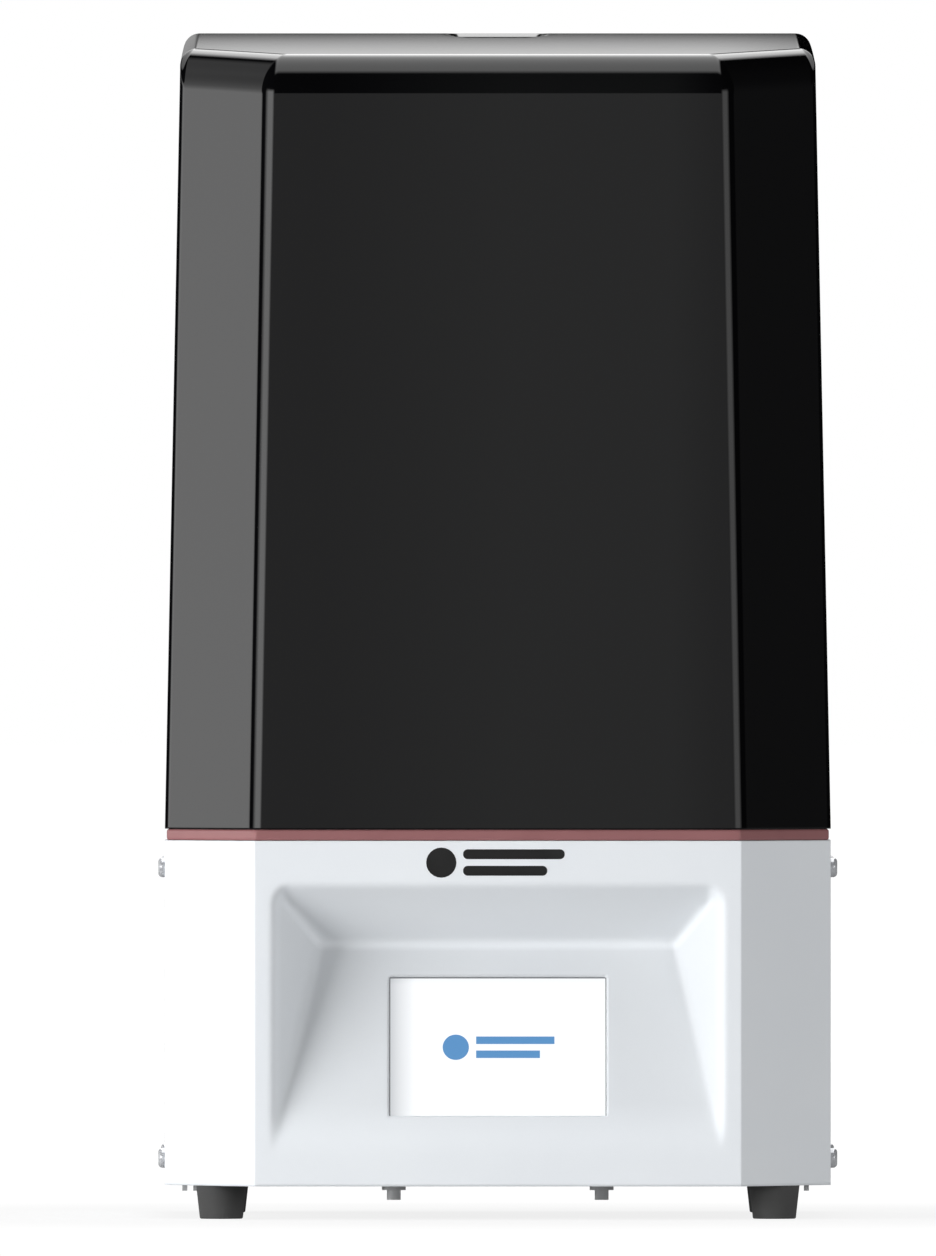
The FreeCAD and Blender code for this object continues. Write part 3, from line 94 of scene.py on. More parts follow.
def plan(half_width, front, back, cut_x, cut_y):
    """Six plan corners, anticlockwise from the front left: a rectangle with its front corners cut."""
    inner = half_width - cut_x
    return np.array([(-inner, front), (inner, front), (half_width, front + cut_y), (half_width, back),
                     (-half_width, back), (-half_width, front + cut_y)])


base_plan = plan(HALF_WIDTH, FRONT, BACK, CHAMFER_X, CHAMFER_Y)
print("plan corners in mm:", (base_plan / MM).round(1).tolist())

# %% [markdown]
# ## Drawing outlines
#
# Three small functions draw every outline.  One moves the sides of a polygon inwards, each by its own
# distance.  One walks round it and turns each corner into an arc.  Extra points close to the ends
# of each side hold the shading of the flats flat, as a modeller's holding loops do.

# %% Outline helpers
def inset_polygon(corners, distances):
    """Each side moves inwards by its distance; the new corners are where neighbouring sides meet.

    A side from p to q has the direction d = (q - p)/|q - p| and the inward normal n = (-d.y, d.x).
    The corner between two sides solves  n1.x = n1.p1 + a1  and  n2.x = n2.p2 + a2.
    """
    following = np.roll(corners, -1, axis=0)
    along = following - corners
    along /= np.linalg.norm(along, axis=1, keepdims=True)
    normal = np.stack([-along[:, 1], along[:, 0]], axis=1)
    reach = (normal * corners).sum(axis=1) + np.broadcast_to(distances, len(corners))
    before = np.roll(normal, 1, axis=0)
    pairs = np.stack([before, normal], axis=1)
    return np.linalg.solve(pairs, np.stack([np.roll(reach, 1), reach], axis=1)[..., None])[..., 0]


def side_steps(count, hold=0.004):
    """Places along a side from 0 to 1: both ends, a holding point next to each, and even steps."""
    return np.concatenate([[0, hold], np.linspace(0, 1, count + 1)[1:-1], [1 - hold]])


def rounded_polygon(corners, radii, counts, arc_steps=7):
    """A closed outline: arc about each corner, then the side that follows it.

    At a corner with the half-angle h between its sides, an arc of radius r starts r/tan(h) before the
    corner, and its centre lies r/sin(h) along the bisector.
    """
    total = len(corners)
    radii = np.broadcast_to(radii, total).astype(float)
    before = np.roll(corners, 1, axis=0) - corners
    after = np.roll(corners, -1, axis=0) - corners
    before /= np.linalg.norm(before, axis=1, keepdims=True)
    after /= np.linalg.norm(after, axis=1, keepdims=True)
    half = np.arccos(np.clip((before * after).sum(axis=1), -1, 1)) / 2
    bisector = before + after
    bisector /= np.linalg.norm(bisector, axis=1, keepdims=True)
    centres = corners + bisector * (radii / np.sin(half))[:, None]
    starts = corners + before * (radii / np.tan(half))[:, None]
    ends = corners + after * (radii / np.tan(half))[:, None]
    turn = math.pi - 2 * half
    pieces = []
    for index in range(total):
        angle = np.arctan2(*(starts[index] - centres[index])[::-1])
        sweep = angle + turn[index] * np.linspace(0, 1, arc_steps + 1)[:-1]
        arc = centres[index] + radii[index] * np.stack([np.cos(sweep), np.sin(sweep)], axis=1)
        share = side_steps(counts[index])[:, None]
        side = ends[index] * (1 - share) + starts[(index + 1) % total] * share
        pieces += [arc, side]
    return np.concatenate(pieces)


# %% [markdown]
# ## Turning arrays into meshes
#
# A surface is an array of points with a row number and a column number.  Neighbouring points make a
# four-sided face.  Rings of points stacked on each other, with the first and the last closed by
# one flat face, make a closed solid.

# %% Mesh helpers
def new_piece(name, points, faces):
    """A smooth-shaded mesh object at the origin, with its place in its points."""
    mesh = bpy.data.meshes.new(name)
    mesh.from_pydata(points.reshape(-1, 3).tolist(), [], faces)
    mesh.polygons.foreach_set("use_smooth", np.ones(len(mesh.polygons), bool))
    mesh.validate()
    piece = bpy.data.objects.new(name, mesh)
    bpy.context.scene.collection.objects.link(piece)
    return piece


def quads(rows, columns, wrap_rows=False, wrap_columns=False, keep=None):
    """Faces between neighbouring points of a grid: (i, j), (i+1, j), (i+1, j+1), (i, j+1)."""
    i, j = np.meshgrid(np.arange(rows - (not wrap_rows)), np.arange(columns - (not wrap_columns)),
                       indexing="ij")
    if keep is not None:
        i, j = i[keep], j[keep]
    below, beside = (i + 1) % rows, (j + 1) % columns
    corners = np.stack([i * columns + j, i * columns + beside, below * columns + beside,
                        below * columns + j], axis=-1)
    return corners.reshape(-1, 4)


def stacked_rings(name, rings, closed=True):
    """A solid from rings of points, each ring anticlockwise seen from the last one's side."""
    rows, columns = rings.shape[:2]
    faces = quads(rows, columns, wrap_columns=True).tolist()
    if closed:
        faces.append(list(range(columns))[::-1])
        faces.append(list(range((rows - 1) * columns, rows * columns)))
    piece = new_piece(name, rings, faces)
    if closed:
        for end in (-2, -1):
            piece.data.polygons[end].use_smooth = False
    return piece


def finish_edges(piece, width, angle=40, segments=2):
    """A small bevel on every edge sharper than an angle, so that it catches the light."""
    bevel = piece.modifiers.new("edges", "BEVEL")
    bevel.width = width
    bevel.segments = segments
    bevel.limit_method = "ANGLE"
    bevel.angle_limit = math.radians(angle)
    bevel.harden_normals = False
    return bevel


def thicken(piece, thickness):
    """A wall of even thickness on the inner side of a surface."""
    wall = piece.modifiers.new("wall", "SOLIDIFY")
    wall.thickness = thickness
    wall.offset = -1
    wall.use_even_offset = True
    return wall


# %% [markdown]
# ## Shader maths in plain Python
#
# A finish is a formula: take the place on the object, make some noise, and let it shift a colour or
# a roughness a little.  Wiring Math nodes by hand hides such a formula.  `Value` wraps one socket
# instead, so that `noise * 0.2 + 0.4` adds the nodes by itself and still reads as the formula.

# %% Value
class Value:
    """One number or vector that flows between nodes."""

    def __init__(self, tree, socket):
        self.tree = tree
        self.socket = socket

    def maths(self, operation, *others, clamp=False):
        """Add a Math node; each operand is a Value, which is linked, or a plain number."""
        node = self.tree.nodes.new("ShaderNodeMath")
        node.operation = operation
        node.use_clamp = clamp
        for index, item in enumerate(others):
            if isinstance(item, Value):
                self.tree.links.new(item.socket, node.inputs[index])
            else:
                node.inputs[index].default_value = item
        return Value(self.tree, node.outputs[0])

    def __add__(self, other):
        return self.maths("ADD", self, other)

    def __sub__(self, other):
        return self.maths("SUBTRACT", self, other)

    def __rsub__(self, other):
        return self.maths("SUBTRACT", other, self)

    def __mul__(self, other):
        return self.maths("MULTIPLY", self, other)

    def __truediv__(self, other):
        return self.maths("DIVIDE", self, other)

    def __gt__(self, other):
        return self.maths("GREATER_THAN", self, other)

    def __lt__(self, other):
        return self.maths("LESS_THAN", self, other)

    __radd__ = __add__
    __rmul__ = __mul__

    def __abs__(self):
        return self.maths("ABSOLUTE", self)

    def fraction(self):
        return self.maths("FRACT", self)

    def larger(self, other):
        return self.maths("MAXIMUM", self, other)

    def clamped(self):
        return self.maths("ADD", self, 0.0, clamp=True)

    def ramp(self, low, high):
        """0 below low, 1 above high, and a straight line between; low may be the larger."""
        return ((self - low) / (high - low)).clamped()


# %% [markdown]
# `Tree` holds a node tree and makes any other node from its type, its settings and its inputs.
# `Finish` is a tree with one Principled shader, the place on the object, and a bump where one is
# wanted.  Every material of the printer is a `Finish`, so none of them repeats the wiring.

# %% Tree and Finish
class Tree:
    """A node tree with one method that makes any node."""

    def __init__(self, tree):
        self.tree = tree
        self.tree.nodes.clear()

    def node(self, kind, settings=None, **inputs):
        """Any node: its settings are set first, then its sockets by name, or by number as in _0."""
        made = self.tree.nodes.new(kind)
        for name, setting in (settings or {}).items():
            setattr(made, name, setting)
        for name, item in inputs.items():
            socket = made.inputs[int(name[1:]) if name[1:].isdigit() else name.replace("_", " ")]
            if isinstance(item, Value):
                self.tree.links.new(item.socket, socket)
            else:
                socket.default_value = item
        return made

    def value(self, made, output=0):
        return Value(self.tree, made.outputs[output])

    def noise(self, place, scale, detail=3.0, roughness=0.5):
        made = self.node("ShaderNodeTexNoise", Vector=place, Scale=scale, Detail=detail,
                         Roughness=roughness)
        return self.value(made, "Fac" if "Fac" in made.outputs else 0)

    def mix(self, factor, first, second):
        """A colour between two; numbers of three stand for plain colours."""
        made = self.node("ShaderNodeMix", {"data_type": "RGBA"})
        for index, item in ((0, factor), (6, first), (7, second)):
            if isinstance(item, Value):
                self.tree.links.new(item.socket, made.inputs[index])
            elif index == 0:
                made.inputs[0].default_value = item
            else:
                made.inputs[index].default_value = (*item, 1.0)
        return self.value(made, 2)

    def stretched(self, place, scales):
        """The place with each axis on its own scale, which draws a noise out along one of them."""
        made = self.node("ShaderNodeVectorMath", {"operation": "MULTIPLY"}, _0=place, _1=scales)
        return self.value(made)

    def parts(self, place):
        """The place's x, y and z as three numbers."""
        made = self.node("ShaderNodeSeparateXYZ", Vector=place)
        return [self.value(made, index) for index in range(3)]


class Finish(Tree):
    """A material built round one Principled shader."""

    def __init__(self, name, **fixed):
        material = bpy.data.materials.new(name)
        material.use_nodes = True
        super().__init__(material.node_tree)
        self.material = material
        self.shader = self.node("ShaderNodeBsdfPrincipled")
        for key, item in fixed.items():
            socket = self.shader.inputs[key.replace("_", " ")]
            socket.default_value = (*item, 1.0) if isinstance(item, tuple) else item
        output = self.node("ShaderNodeOutputMaterial")
        self.tree.links.new(self.shader.outputs[0], output.inputs[0])
        self.place = self.value(self.node("ShaderNodeTexCoord"), "Object")

    def feed(self, socket, item):
        self.tree.links.new(item.socket, self.shader.inputs[socket])

    def bump(self, height, distance, strength=1.0):
        made = self.node("ShaderNodeBump", Height=height, Distance=distance, Strength=strength)
        self.feed("Normal", self.value(made))


# %% [markdown]
# ### Three families
#
# Paint, brushed metal and moulded plastic cover most of the printer.  Each is one function of two
# close colours, a roughness and the size of its grain.  Powder coat is a fine orange peel.  Inside
# the recess a mask over depth behind the face greys the coat: painted shade for the recess's shadow.

# %% Paint, metal and plastic
# Grey for the painted shade that darkens the recess with its depth.
RECESS_SHADE_GREY = (0.10, 0.105, 0.11)


def painted(name, light, dark, roughness, grain=2500.0, relief=0.00002, recess_shade=0.0):
    """Powder coat: a fine peel in the bump and the gloss, and a faint drift between two tones.

    With a shade strength above 0 the colour goes grey with its depth y - FRONT behind the front face,
    inside the recess only: painted shade where the recess lies in shadow.  The recess's roof, where
    z + y nears RECESS_HIGH + FRONT, is left unshaded.
    """
    finish = Finish(name)
    drift = finish.noise(finish.place, 18.0)
    peel = finish.noise(finish.place, grain, detail=1.5)
    colour = finish.mix(drift.ramp(0.3, 0.7), light, dark)
    # Painted shade: inside the recess the colour greys with depth behind the face, except on the roof.
    if recess_shade:
        x, y, z = finish.parts(finish.place)
        behind = (y - FRONT) * (abs(x) < RECESS_HALF + 0.1 * MM) * (y < FRONT + 30 * MM)
        roof_line = RECESS_HIGH + FRONT
        roof = (z + y).ramp(roof_line - 4 * MM, roof_line - 1 * MM)
        near, deep = behind.ramp(0.5 * MM, 4 * MM), behind.ramp(2 * MM, 20 * MM)
        painted_shade = (near * 0.4 + deep * 0.6) * (1.0 - roof)
        colour = finish.mix(painted_shade * recess_shade, colour, RECESS_SHADE_GREY)
    finish.feed("Base Color", colour)
    finish.feed("Roughness", peel * 0.10 + drift * 0.05 + (roughness - 0.08))
    finish.bump(peel, relief)
    return finish


def brushed(name, light, dark, roughness, grain):
    """Metal brushed along one axis: noise drawn out long that way shifts colour, gloss and relief."""
    finish = Finish(name, Metallic=1.0)
    streak = finish.noise(finish.stretched(finish.place, grain), 1.0, detail=4.0, roughness=0.6)
    cloud = finish.noise(finish.place, 30.0)
    finish.feed("Base Color", finish.mix(streak.ramp(0.3, 0.7), dark, light))
    finish.feed("Roughness", streak * 0.16 + cloud * 0.08 + (roughness - 0.12))
    finish.bump(streak, 0.00001)
    return finish


def moulded(name, colour, worn, roughness, grain=1800.0, relief=0.00003):
    """Moulded plastic or rubber: spark-eroded grain, slightly paler where hands and dust reach."""
    finish = Finish(name)
    grain_height = finish.noise(finish.place, grain, detail=3.0)
    cloud = finish.noise(finish.place, 35.0)
    finish.feed("Base Color", finish.mix(cloud.ramp(0.45, 0.8), colour, worn))
    finish.feed("Roughness", grain_height * 0.12 + cloud * 0.08 + (roughness - 0.1))
    finish.bump(grain_height, relief)
    return finish


# %% [markdown]
# ## The finishes
#
# Powder-coated sheet, aluminium, ground steel, brass, rubber and black plastic are all members of
# the three families, so one call each makes them and keeps them related.  Only the few special ones
# (plated screws, hood, seal, screens, film, circuit boards) get a formula of their own.

# %% Paints, metals and mouldings
WHITE_PAINT = ((0.80, 0.83, 0.86), (0.775, 0.805, 0.84), 0.42)
white_coat = painted("white_coat", *WHITE_PAINT)
# The housing's white paint, with painted shade greying the inside of the recess.
recess_shaded_coat = painted("recess_shaded_coat", *WHITE_PAINT, recess_shade=0.22)
deck_coat = painted("deck_coat", (0.70, 0.72, 0.74), (0.66, 0.68, 0.70), 0.45)
plate_coat = painted("plate_coat", (0.46, 0.47, 0.48), (0.40, 0.41, 0.42), 0.4)
zinc_coat = painted("zinc_coat", (0.88, 0.89, 0.90), (0.80, 0.81, 0.82), 0.32, grain=4000.0,
                    relief=0.000005)
motor_coat = painted("motor_coat", (0.015, 0.015, 0.016), (0.024, 0.024, 0.026), 0.4)
lamp_wall = brushed("lamp_wall", (0.90, 0.90, 0.91), (0.80, 0.80, 0.82), 0.25, (60.0, 60.0, 900.0))
aluminium = brushed("aluminium", (0.78, 0.79, 0.81), (0.66, 0.67, 0.69), 0.38, (60.0, 1600.0, 1600.0))
column_metal = brushed("column_metal", (0.70, 0.71, 0.73), (0.58, 0.59, 0.61), 0.34,
                       (1500.0, 1500.0, 40.0))
black_metal = brushed("black_metal", (0.050, 0.050, 0.055), (0.030, 0.030, 0.034), 0.42,
                      (1200.0, 60.0, 1200.0))
steel = brushed("steel", (0.62, 0.62, 0.64), (0.50, 0.50, 0.53), 0.24, (1400.0, 1400.0, 90.0))
oxide = brushed("oxide", (0.075, 0.075, 0.080), (0.045, 0.045, 0.050), 0.40, (700.0, 700.0, 700.0))
brass = brushed("brass", (0.86, 0.66, 0.32), (0.70, 0.50, 0.22), 0.30, (900.0, 900.0, 200.0))
rubber = moulded("rubber", (0.060, 0.060, 0.060), (0.085, 0.085, 0.084), 0.72, 1100.0, 0.00006)
black_plastic = moulded("black_plastic", (0.016, 0.016, 0.017), (0.028, 0.028, 0.029), 0.48)
knob_plastic = moulded("knob_plastic", (0.020, 0.020, 0.022), (0.040, 0.040, 0.042), 0.38, 900.0)
tape = moulded("tape", (0.010, 0.010, 0.010), (0.018, 0.018, 0.018), 0.6)


def chromed():
    """Plated screws: bright and a little hazy, with a very fine unevenness in the plating."""
    finish = Finish("chromed", Metallic=0.5)
    haze = finish.noise(finish.place, 240.0)
    finish.feed("Base Color", finish.mix(haze, (0.58, 0.59, 0.61), (0.74, 0.75, 0.78)))
    finish.feed("Roughness", haze * 0.14 + 0.10)
    finish.bump(finish.noise(finish.place, 3000.0), 0.000004)
    return finish


plated = chromed()
print("finishes so far:", len(bpy.data.materials))

# %% [markdown]
# ### Hood and seal
#
# The hood is tinted acrylic-like plastic, so deep in colour that it reads as black.  What the eye
# sees is its gloss, so its formula is mostly about gloss: long faint swirls from wiping and fine
# specks of dust.  The front's middle and right get a slightly paler colour: painted light for the pale
# room seen through the plastic.  The seal is a similar plastic in a translucent dark red.

# %% Smoke plastic, red seal
def smoked():
    """Near-black gloss: wiping streaks along z, specks in the gloss, and painted light as a paler zone
    across x.
    """
    finish = Finish("smoked", IOR=1.46, Specular_IOR_Level=0.5)
    wipe = finish.noise(finish.stretched(finish.place, (9.0, 9.0, 2.5)), 1.0, detail=5.0)
    speck = finish.noise(finish.place, 1500.0, detail=1.0)
    across, _, _ = finish.parts(finish.place)
    deep = finish.mix(wipe, (0.0012, 0.0012, 0.0015), (0.0026, 0.0026, 0.0030))
    # Painted light: a paler band across the front's middle and right, for the room seen through the plastic.
    painted_light_band = across.ramp(-0.06, 0.005) * across.ramp(0.075, 0.060)
    finish.feed("Base Color", finish.mix(painted_light_band, deep, (0.0056, 0.0058, 0.0060)))
    finish.feed("Roughness", wipe * 0.05 + speck * 0.02 + 0.035)
    finish.bump(speck, 0.0000015)
    return finish


def red_seal():
    """Dark red gloss whose cloudiness shifts the colour and the roughness together."""
    finish = Finish("red_seal", IOR=1.45)
    cloud = finish.noise(finish.place, 60.0)
    finish.feed("Base Color", finish.mix(cloud, (0.25, 0.105, 0.108), (0.30, 0.135, 0.138)))
    finish.feed("Roughness", cloud * 0.08 + 0.14)
    finish.bump(finish.noise(finish.place, 900.0), 0.000006)
    return finish


hood_plastic = smoked()
seal_plastic = red_seal()
print("hood and seal:", hood_plastic.material.name, "and", seal_plastic.material.name)

# %% [markdown]
# ### Boards, film and glass
#
# A circuit board is a green lacquer over copper.  The tracks show as slightly raised, lighter lines
# on a grid, and round pads are left bare.  The vat's film is clear.  The exposure screen is a dark
# glass whose cells are far too fine to see, so only a hint of a grid is left.

# %% Boards, film and glass
BOARD_PITCH, CELL_PITCH = 2.54 * MM, 1.2 * MM


def circuit():
    """Lines where |fract(x / pitch) - 1/2| is small; a noise picks rows or columns, pads are discs."""
    finish = Finish("circuit", Coat_Weight=0.4, Coat_Roughness=0.15)
    x, y, _ = finish.parts(finish.place)
    lines = [abs((axis / BOARD_PITCH).fraction() - 0.5) for axis in (x, y)]
    choice = finish.noise(finish.place, 160.0, detail=1.0)
    track = (lines[0] < 0.10) * (choice > 0.5) + (lines[1] < 0.10) * (choice < 0.5)
    pad = ((lines[0] * lines[0] + lines[1] * lines[1]) < 0.03) * (choice > 0.6)
    green = finish.mix(track.clamped(), (0.006, 0.060, 0.026), (0.014, 0.115, 0.050))
    finish.feed("Base Color", finish.mix(pad, green, (0.75, 0.60, 0.33)))
    finish.feed("Metallic", pad.clamped())
    finish.feed("Roughness", pad * 0.05 + 0.32)
    finish.bump((track + pad).clamped(), 0.00003)
    return finish


def screen_glass():
    """Dark glass; the product of two saw waves in x and y gives the hint of a grid."""
    finish = Finish("screen_glass", Coat_Weight=0.6, Coat_Roughness=0.03)
    x, y, _ = finish.parts(finish.place)
    cells = abs((x / CELL_PITCH).fraction() - 0.5) * abs((y / CELL_PITCH).fraction() - 0.5)
    finish.feed("Base Color", finish.mix(cells * 4.0, (0.010, 0.011, 0.016), (0.018, 0.019, 0.026)))
    finish.feed("Roughness", finish.noise(finish.place, 40.0) * 0.06 + 0.06)
    return finish


def clear_film():
    """Clear film: one soft ripple shifts colour, gloss, clearness and relief."""
    finish = Finish("clear_film", IOR=1.34)
    ripple = finish.noise(finish.place, 26.0)
    finish.feed("Base Color", finish.mix(ripple, (0.82, 0.85, 0.87), (0.90, 0.92, 0.93)))
    finish.feed("Roughness", ripple * 0.1 + 0.06)
    finish.feed("Alpha", ripple * 0.12 + 0.26)
    finish.bump(ripple, 0.00008)
    return finish


board_lacquer = circuit()
panel_glass = screen_glass()
film = clear_film()
print("board pitch:", BOARD_PITCH / MM, "mm")

# %% [markdown]
# ### The lit screen
#
# The touch screen shows a white page with a blue dot and two blue bars, much like the mark on the
# front.  They are drawn with formulas on the screen's own coordinates, which run from 0 to 1 across
# and up, so there is no picture and no lettering.  The page is a little greyer at its left and top,
# where the edge of the window throws a soft shadow on it.

# %% The page on the screen
WINDOW_X, WINDOW_UP = 74.7 * MM, 49.8 * MM
DOT_RADIUS_SQUARED = 20.5


def lit_page():
    """A dot is x^2 + y^2 < r^2 and a bar is |x| < a and |y| < b, in millimetres on the page."""
    finish = Finish("lit_page", Coat_Weight=0.3, Coat_Roughness=0.05, Roughness=0.3)
    made = finish.node("ShaderNodeUVMap", {"uv_map": "page"})
    u, v, _ = finish.parts(finish.value(made))
    x = (u - 0.5) * (WINDOW_X / MM)
    y = (v - 0.5) * (WINDOW_UP / MM)
    shade = u.ramp(0.0, 0.12) * 0.6 + v.ramp(1.0, 0.95) * 0.15 + 0.25
    dot = (x + 14.5) * (x + 14.5) + y * y < DOT_RADIUS_SQUARED
    bar_high = (abs(x - 6.0) < 13.5) * (abs(y - 2.5) < 1.35)
    bar_low = (abs(x - 3.5) < 11.0) * (abs(y + 2.5) < 1.35)
    symbol = dot.larger(bar_high).larger(bar_low)
    page = finish.mix(shade.clamped(), (0.34, 0.36, 0.39), (0.93, 0.95, 0.97))
    colour = finish.mix(symbol, page, (0.02, 0.21, 0.50))
    rim = (abs(u - 0.5) > 0.4965).larger(abs(v - 0.5) > 0.4945)
    colour = finish.mix(rim, colour, (0.03, 0.03, 0.035))
    finish.feed("Base Color", finish.mix(rim, (0.10, 0.10, 0.10), (0.01, 0.01, 0.01)))
    finish.feed("Emission Color", colour)
    finish.shader.inputs["Emission Strength"].default_value = 1.0
    return finish


page = lit_page()
print("page:", round(WINDOW_X / MM, 1), "by", round(WINDOW_UP / MM, 1), "mm")

# %% [markdown]
# ## Dressing the engineering parts
#
# The parts from the frame already have the right shape, so they only need a finish.  A table from
# finish to parts keeps this in one place.

# %% Finishes on the frame's parts
DRESS = {
    white_coat: ["base_housing", "back_panel"],
    deck_coat: ["top_deck"],
    plate_coat: ["bottom_plate"],
    rubber: ["foot_front_left", "foot_front_right", "foot_rear_left", "foot_rear_right"],
    plated: ["side_screws", "back_screws", "foot_screws"],
    zinc_coat: ["heat_sink_studs"],
    oxide: ["fan_screws", "rail_screws", "carriage_screws", "level_screws"],
    seal_plastic: ["hood_seal_ring"],
    hood_plastic: ["hood_shell"],
    panel_glass: ["lcd_panel", "touch_glass"],
    tape: ["lcd_gasket"],
    lamp_wall: ["light_shroud"],
    board_lacquer: ["led_board", "main_board", "display_board"],
    aluminium: ["heat_sink", "carriage_plate", "platform_arm", "mount_block", "build_platform",
                "ball_socket", "vat_frame", "film_ring"],
    column_metal: ["z_column", "bearing_bracket"],
    black_plastic: ["fan_frame", "fan_rotor", "power_inlet", "switch_body", "power_rocker", "board_parts",
                    "limit_sensor", "limit_flag", "display_module"],
    knob_plastic: ["platform_knob", "vat_screw_left", "vat_screw_right"],
    steel: ["linear_rail", "rail_block", "lead_screw", "top_bearing", "ball_stem", "usb_port",
            "motor_rotor"],
    motor_coat: ["stepper_motor"],
    brass: ["lead_nut", "board_posts"],
    film: ["vat_film"],
    black_metal: ["vat_rail_left", "vat_rail_right"],
}
dressed = 0
for finish, names in DRESS.items():
    for name in names:
        for material_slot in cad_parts[name].material_slots:
            material_slot.material = finish.material
        dressed += 1
print("dressed", dressed, "of", len(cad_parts), "parts")


def settle(piece, finish, body, slot, *replaced):
    """Give a piece its finish, the body it rides on and the parts that it stands for; slot is not used."""
    piece.data.materials.append(finish.material)
    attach(piece, body)
    if replaced:
        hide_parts(*replaced)
    return piece


# %% [markdown]
# ## The housing
#
# The housing is one pressed and painted skin.  Its plan is the six-cornered outline, and its front
# carries a recess whose floor leans back so that the screen looks up at the user.  The recess could
# be cut with booleans and then bevelled, but its corners melt into each other softly, and bevels break
# where many meet.  So the front is a height field instead.  Four sloping planes (floor, roof and two
# sides) are joined with soft minimums, the two upper corners get a radius of their own, and where
# the bowl comes up to the face the same blend, used upside down, rounds the lip.

# %% The recess as a height field
SIDE_SLOPE = 0.818
CORNER_ROUND = 7 * MM
ROOF_BLEND, FLOOR_BLEND, LIP_BLEND = 3 * MM, 2.6 * MM, 1.3 * MM
WINDOW_CENTRE = 59.7 * MM


def soft_min(a, b, width):
    """min(a, b) with its crease blended over a width: min - max(width - |a - b|, 0)^2 / (4 width)."""
    return np.minimum(a, b) - np.maximum(width - np.abs(a - b), 0) ** 2 / (4 * width)


def recess_depth(x, z):
    """How far the face is set back at x, z: the soft minimum of the planes, never above the face.

    floor = (z - low) tan(lean), roof = high - z, sides = (half - |x|) / slope.  With the radius R the
    upper corners are  max(softmin(roof, sides), R) - hypot(max(R - roof, 0), max(R - sides, 0)).
    """
    floor = (z - RECESS_LOW) * math.tan(LEAN)
    roof = RECESS_HIGH - z
    sides = (RECESS_HALF - np.abs(x)) / SIDE_SLOPE
    short = np.hypot(np.maximum(CORNER_ROUND - roof, 0), np.maximum(CORNER_ROUND - sides, 0))
    walls = np.maximum(soft_min(roof, sides, ROOF_BLEND), CORNER_ROUND) - short
    bowl = soft_min(floor, walls, FLOOR_BLEND)
    return -soft_min(-bowl, np.zeros_like(bowl), LIP_BLEND)


print("recess is", round(float(recess_depth(np.array(0.0), np.array(95 * MM))) / MM, 1), "mm deep")

# %% [markdown]
# One grid is wrapped round the whole plan: its rows are heights, its columns are places along the
# outline.  The window for the screen and the opening for the back panel are holes where faces are
# left out, so grid lines have to pass exactly through their edges.  A solidify modifier then gives
# the sheet its thickness.

# %% The housing's skin
SHEET = 2.0 * MM
ROW_STEP, COLUMN_STEP = 1.05 * MM, 1.15 * MM
CORNER, BACK_CORNER = 1.0 * MM, 6 * MM
BACK_LOW, BACK_HIGH, BACK_HALF = 20 * MM, 121 * MM, 98 * MM
WINDOW_HALF_X, WINDOW_HALF_Z = WINDOW_X / 2, WINDOW_UP / 2 * math.cos(LEAN)


def fine_lines(start, end, step, *through):
    """Grid lines from start to end about a step apart, that pass exactly through given places."""
    stops = [start, *sorted(through), end]
    parts = [np.linspace(a, b, max(2, int(round((b - a) / step)) + 1))[:-1]
             for a, b in zip(stops, stops[1:])]
    return np.concatenate([*parts, [end]])


front_plan = inset_polygon(base_plan, SKIN)
rows_z = fine_lines(housing_low.z, housing_high.z, ROW_STEP, WINDOW_CENTRE - WINDOW_HALF_Z,
                    WINDOW_CENTRE + WINDOW_HALF_Z, BACK_LOW, BACK_HIGH)
face_half = front_plan[1, 0] - 0.6 * MM
columns_x = fine_lines(-face_half, face_half, COLUMN_STEP, -WINDOW_HALF_X, WINDOW_HALF_X,
                       -RECESS_HALF, RECESS_HALF)
around = rounded_polygon(front_plan, [CORNER, CORNER, CORNER, BACK_CORNER, BACK_CORNER, CORNER],
                         [1, 2, 2, 60, 2, 2], arc_steps=5)
flat_front = (np.abs(around[:, 0]) < face_half) & (around[:, 1] < FRONT + 1 * MM)
around = around[~flat_front]
first = int(np.argmin(np.hypot(around[:, 0] - face_half, around[:, 1] - FRONT)))
around = np.roll(around, -first, axis=0)
face_line = np.stack([columns_x, np.full_like(columns_x, front_plan[0, 1])], axis=1)
loop = np.concatenate([face_line, around])
on_face = np.arange(len(loop)) < len(face_line)

grid_z, grid_x = np.meshgrid(rows_z, loop[:, 0], indexing="ij")
grid_y = np.broadcast_to(loop[:, 1], grid_x.shape).copy()
grid_y[:, on_face] += recess_depth(grid_x, grid_z)[:, on_face]
skin_points = np.stack([grid_x, grid_y, grid_z], axis=-1)

middle_x = (loop[:, 0] + np.roll(loop[:, 0], -1)) / 2
middle_y = (loop[:, 1] + np.roll(loop[:, 1], -1)) / 2
middle_z = (rows_z[1:] + rows_z[:-1]) / 2
in_window = (np.abs(middle_z - WINDOW_CENTRE) < WINDOW_HALF_Z)[:, None] & (
    (np.abs(middle_x) < WINDOW_HALF_X) & (middle_y < 0))[None, :]
in_back = ((middle_z > BACK_LOW) & (middle_z < BACK_HIGH))[:, None] & (
    (np.abs(middle_x) < BACK_HALF) & (middle_y > 0))[None, :]
keep = ~(in_window | in_back)
skin_faces = quads(*grid_x.shape, wrap_columns=True, keep=keep)
housing = new_piece("housing_skin", skin_points, skin_faces.tolist())
thicken(housing, SHEET - SKIN)
# The housing gets the white paint with painted shade in its recess.
settle(housing, recess_shaded_coat, "base", "white_coat", "base_housing")
print("housing skin:", len(skin_faces), "faces")

# %% [markdown]
# ## The hood
#
# The hood is a tapered six-sided tube with a roof that rises towards the back.  The usual way is to
# extrude, taper and bevel, but here the edge at the front turns over much more slowly than at the
# sides and the back, and there is a faint crease where the turn begins.  So each kind of edge gets a
# profile of its own: a list of (inset, drop) pairs from the crease up to the roof.

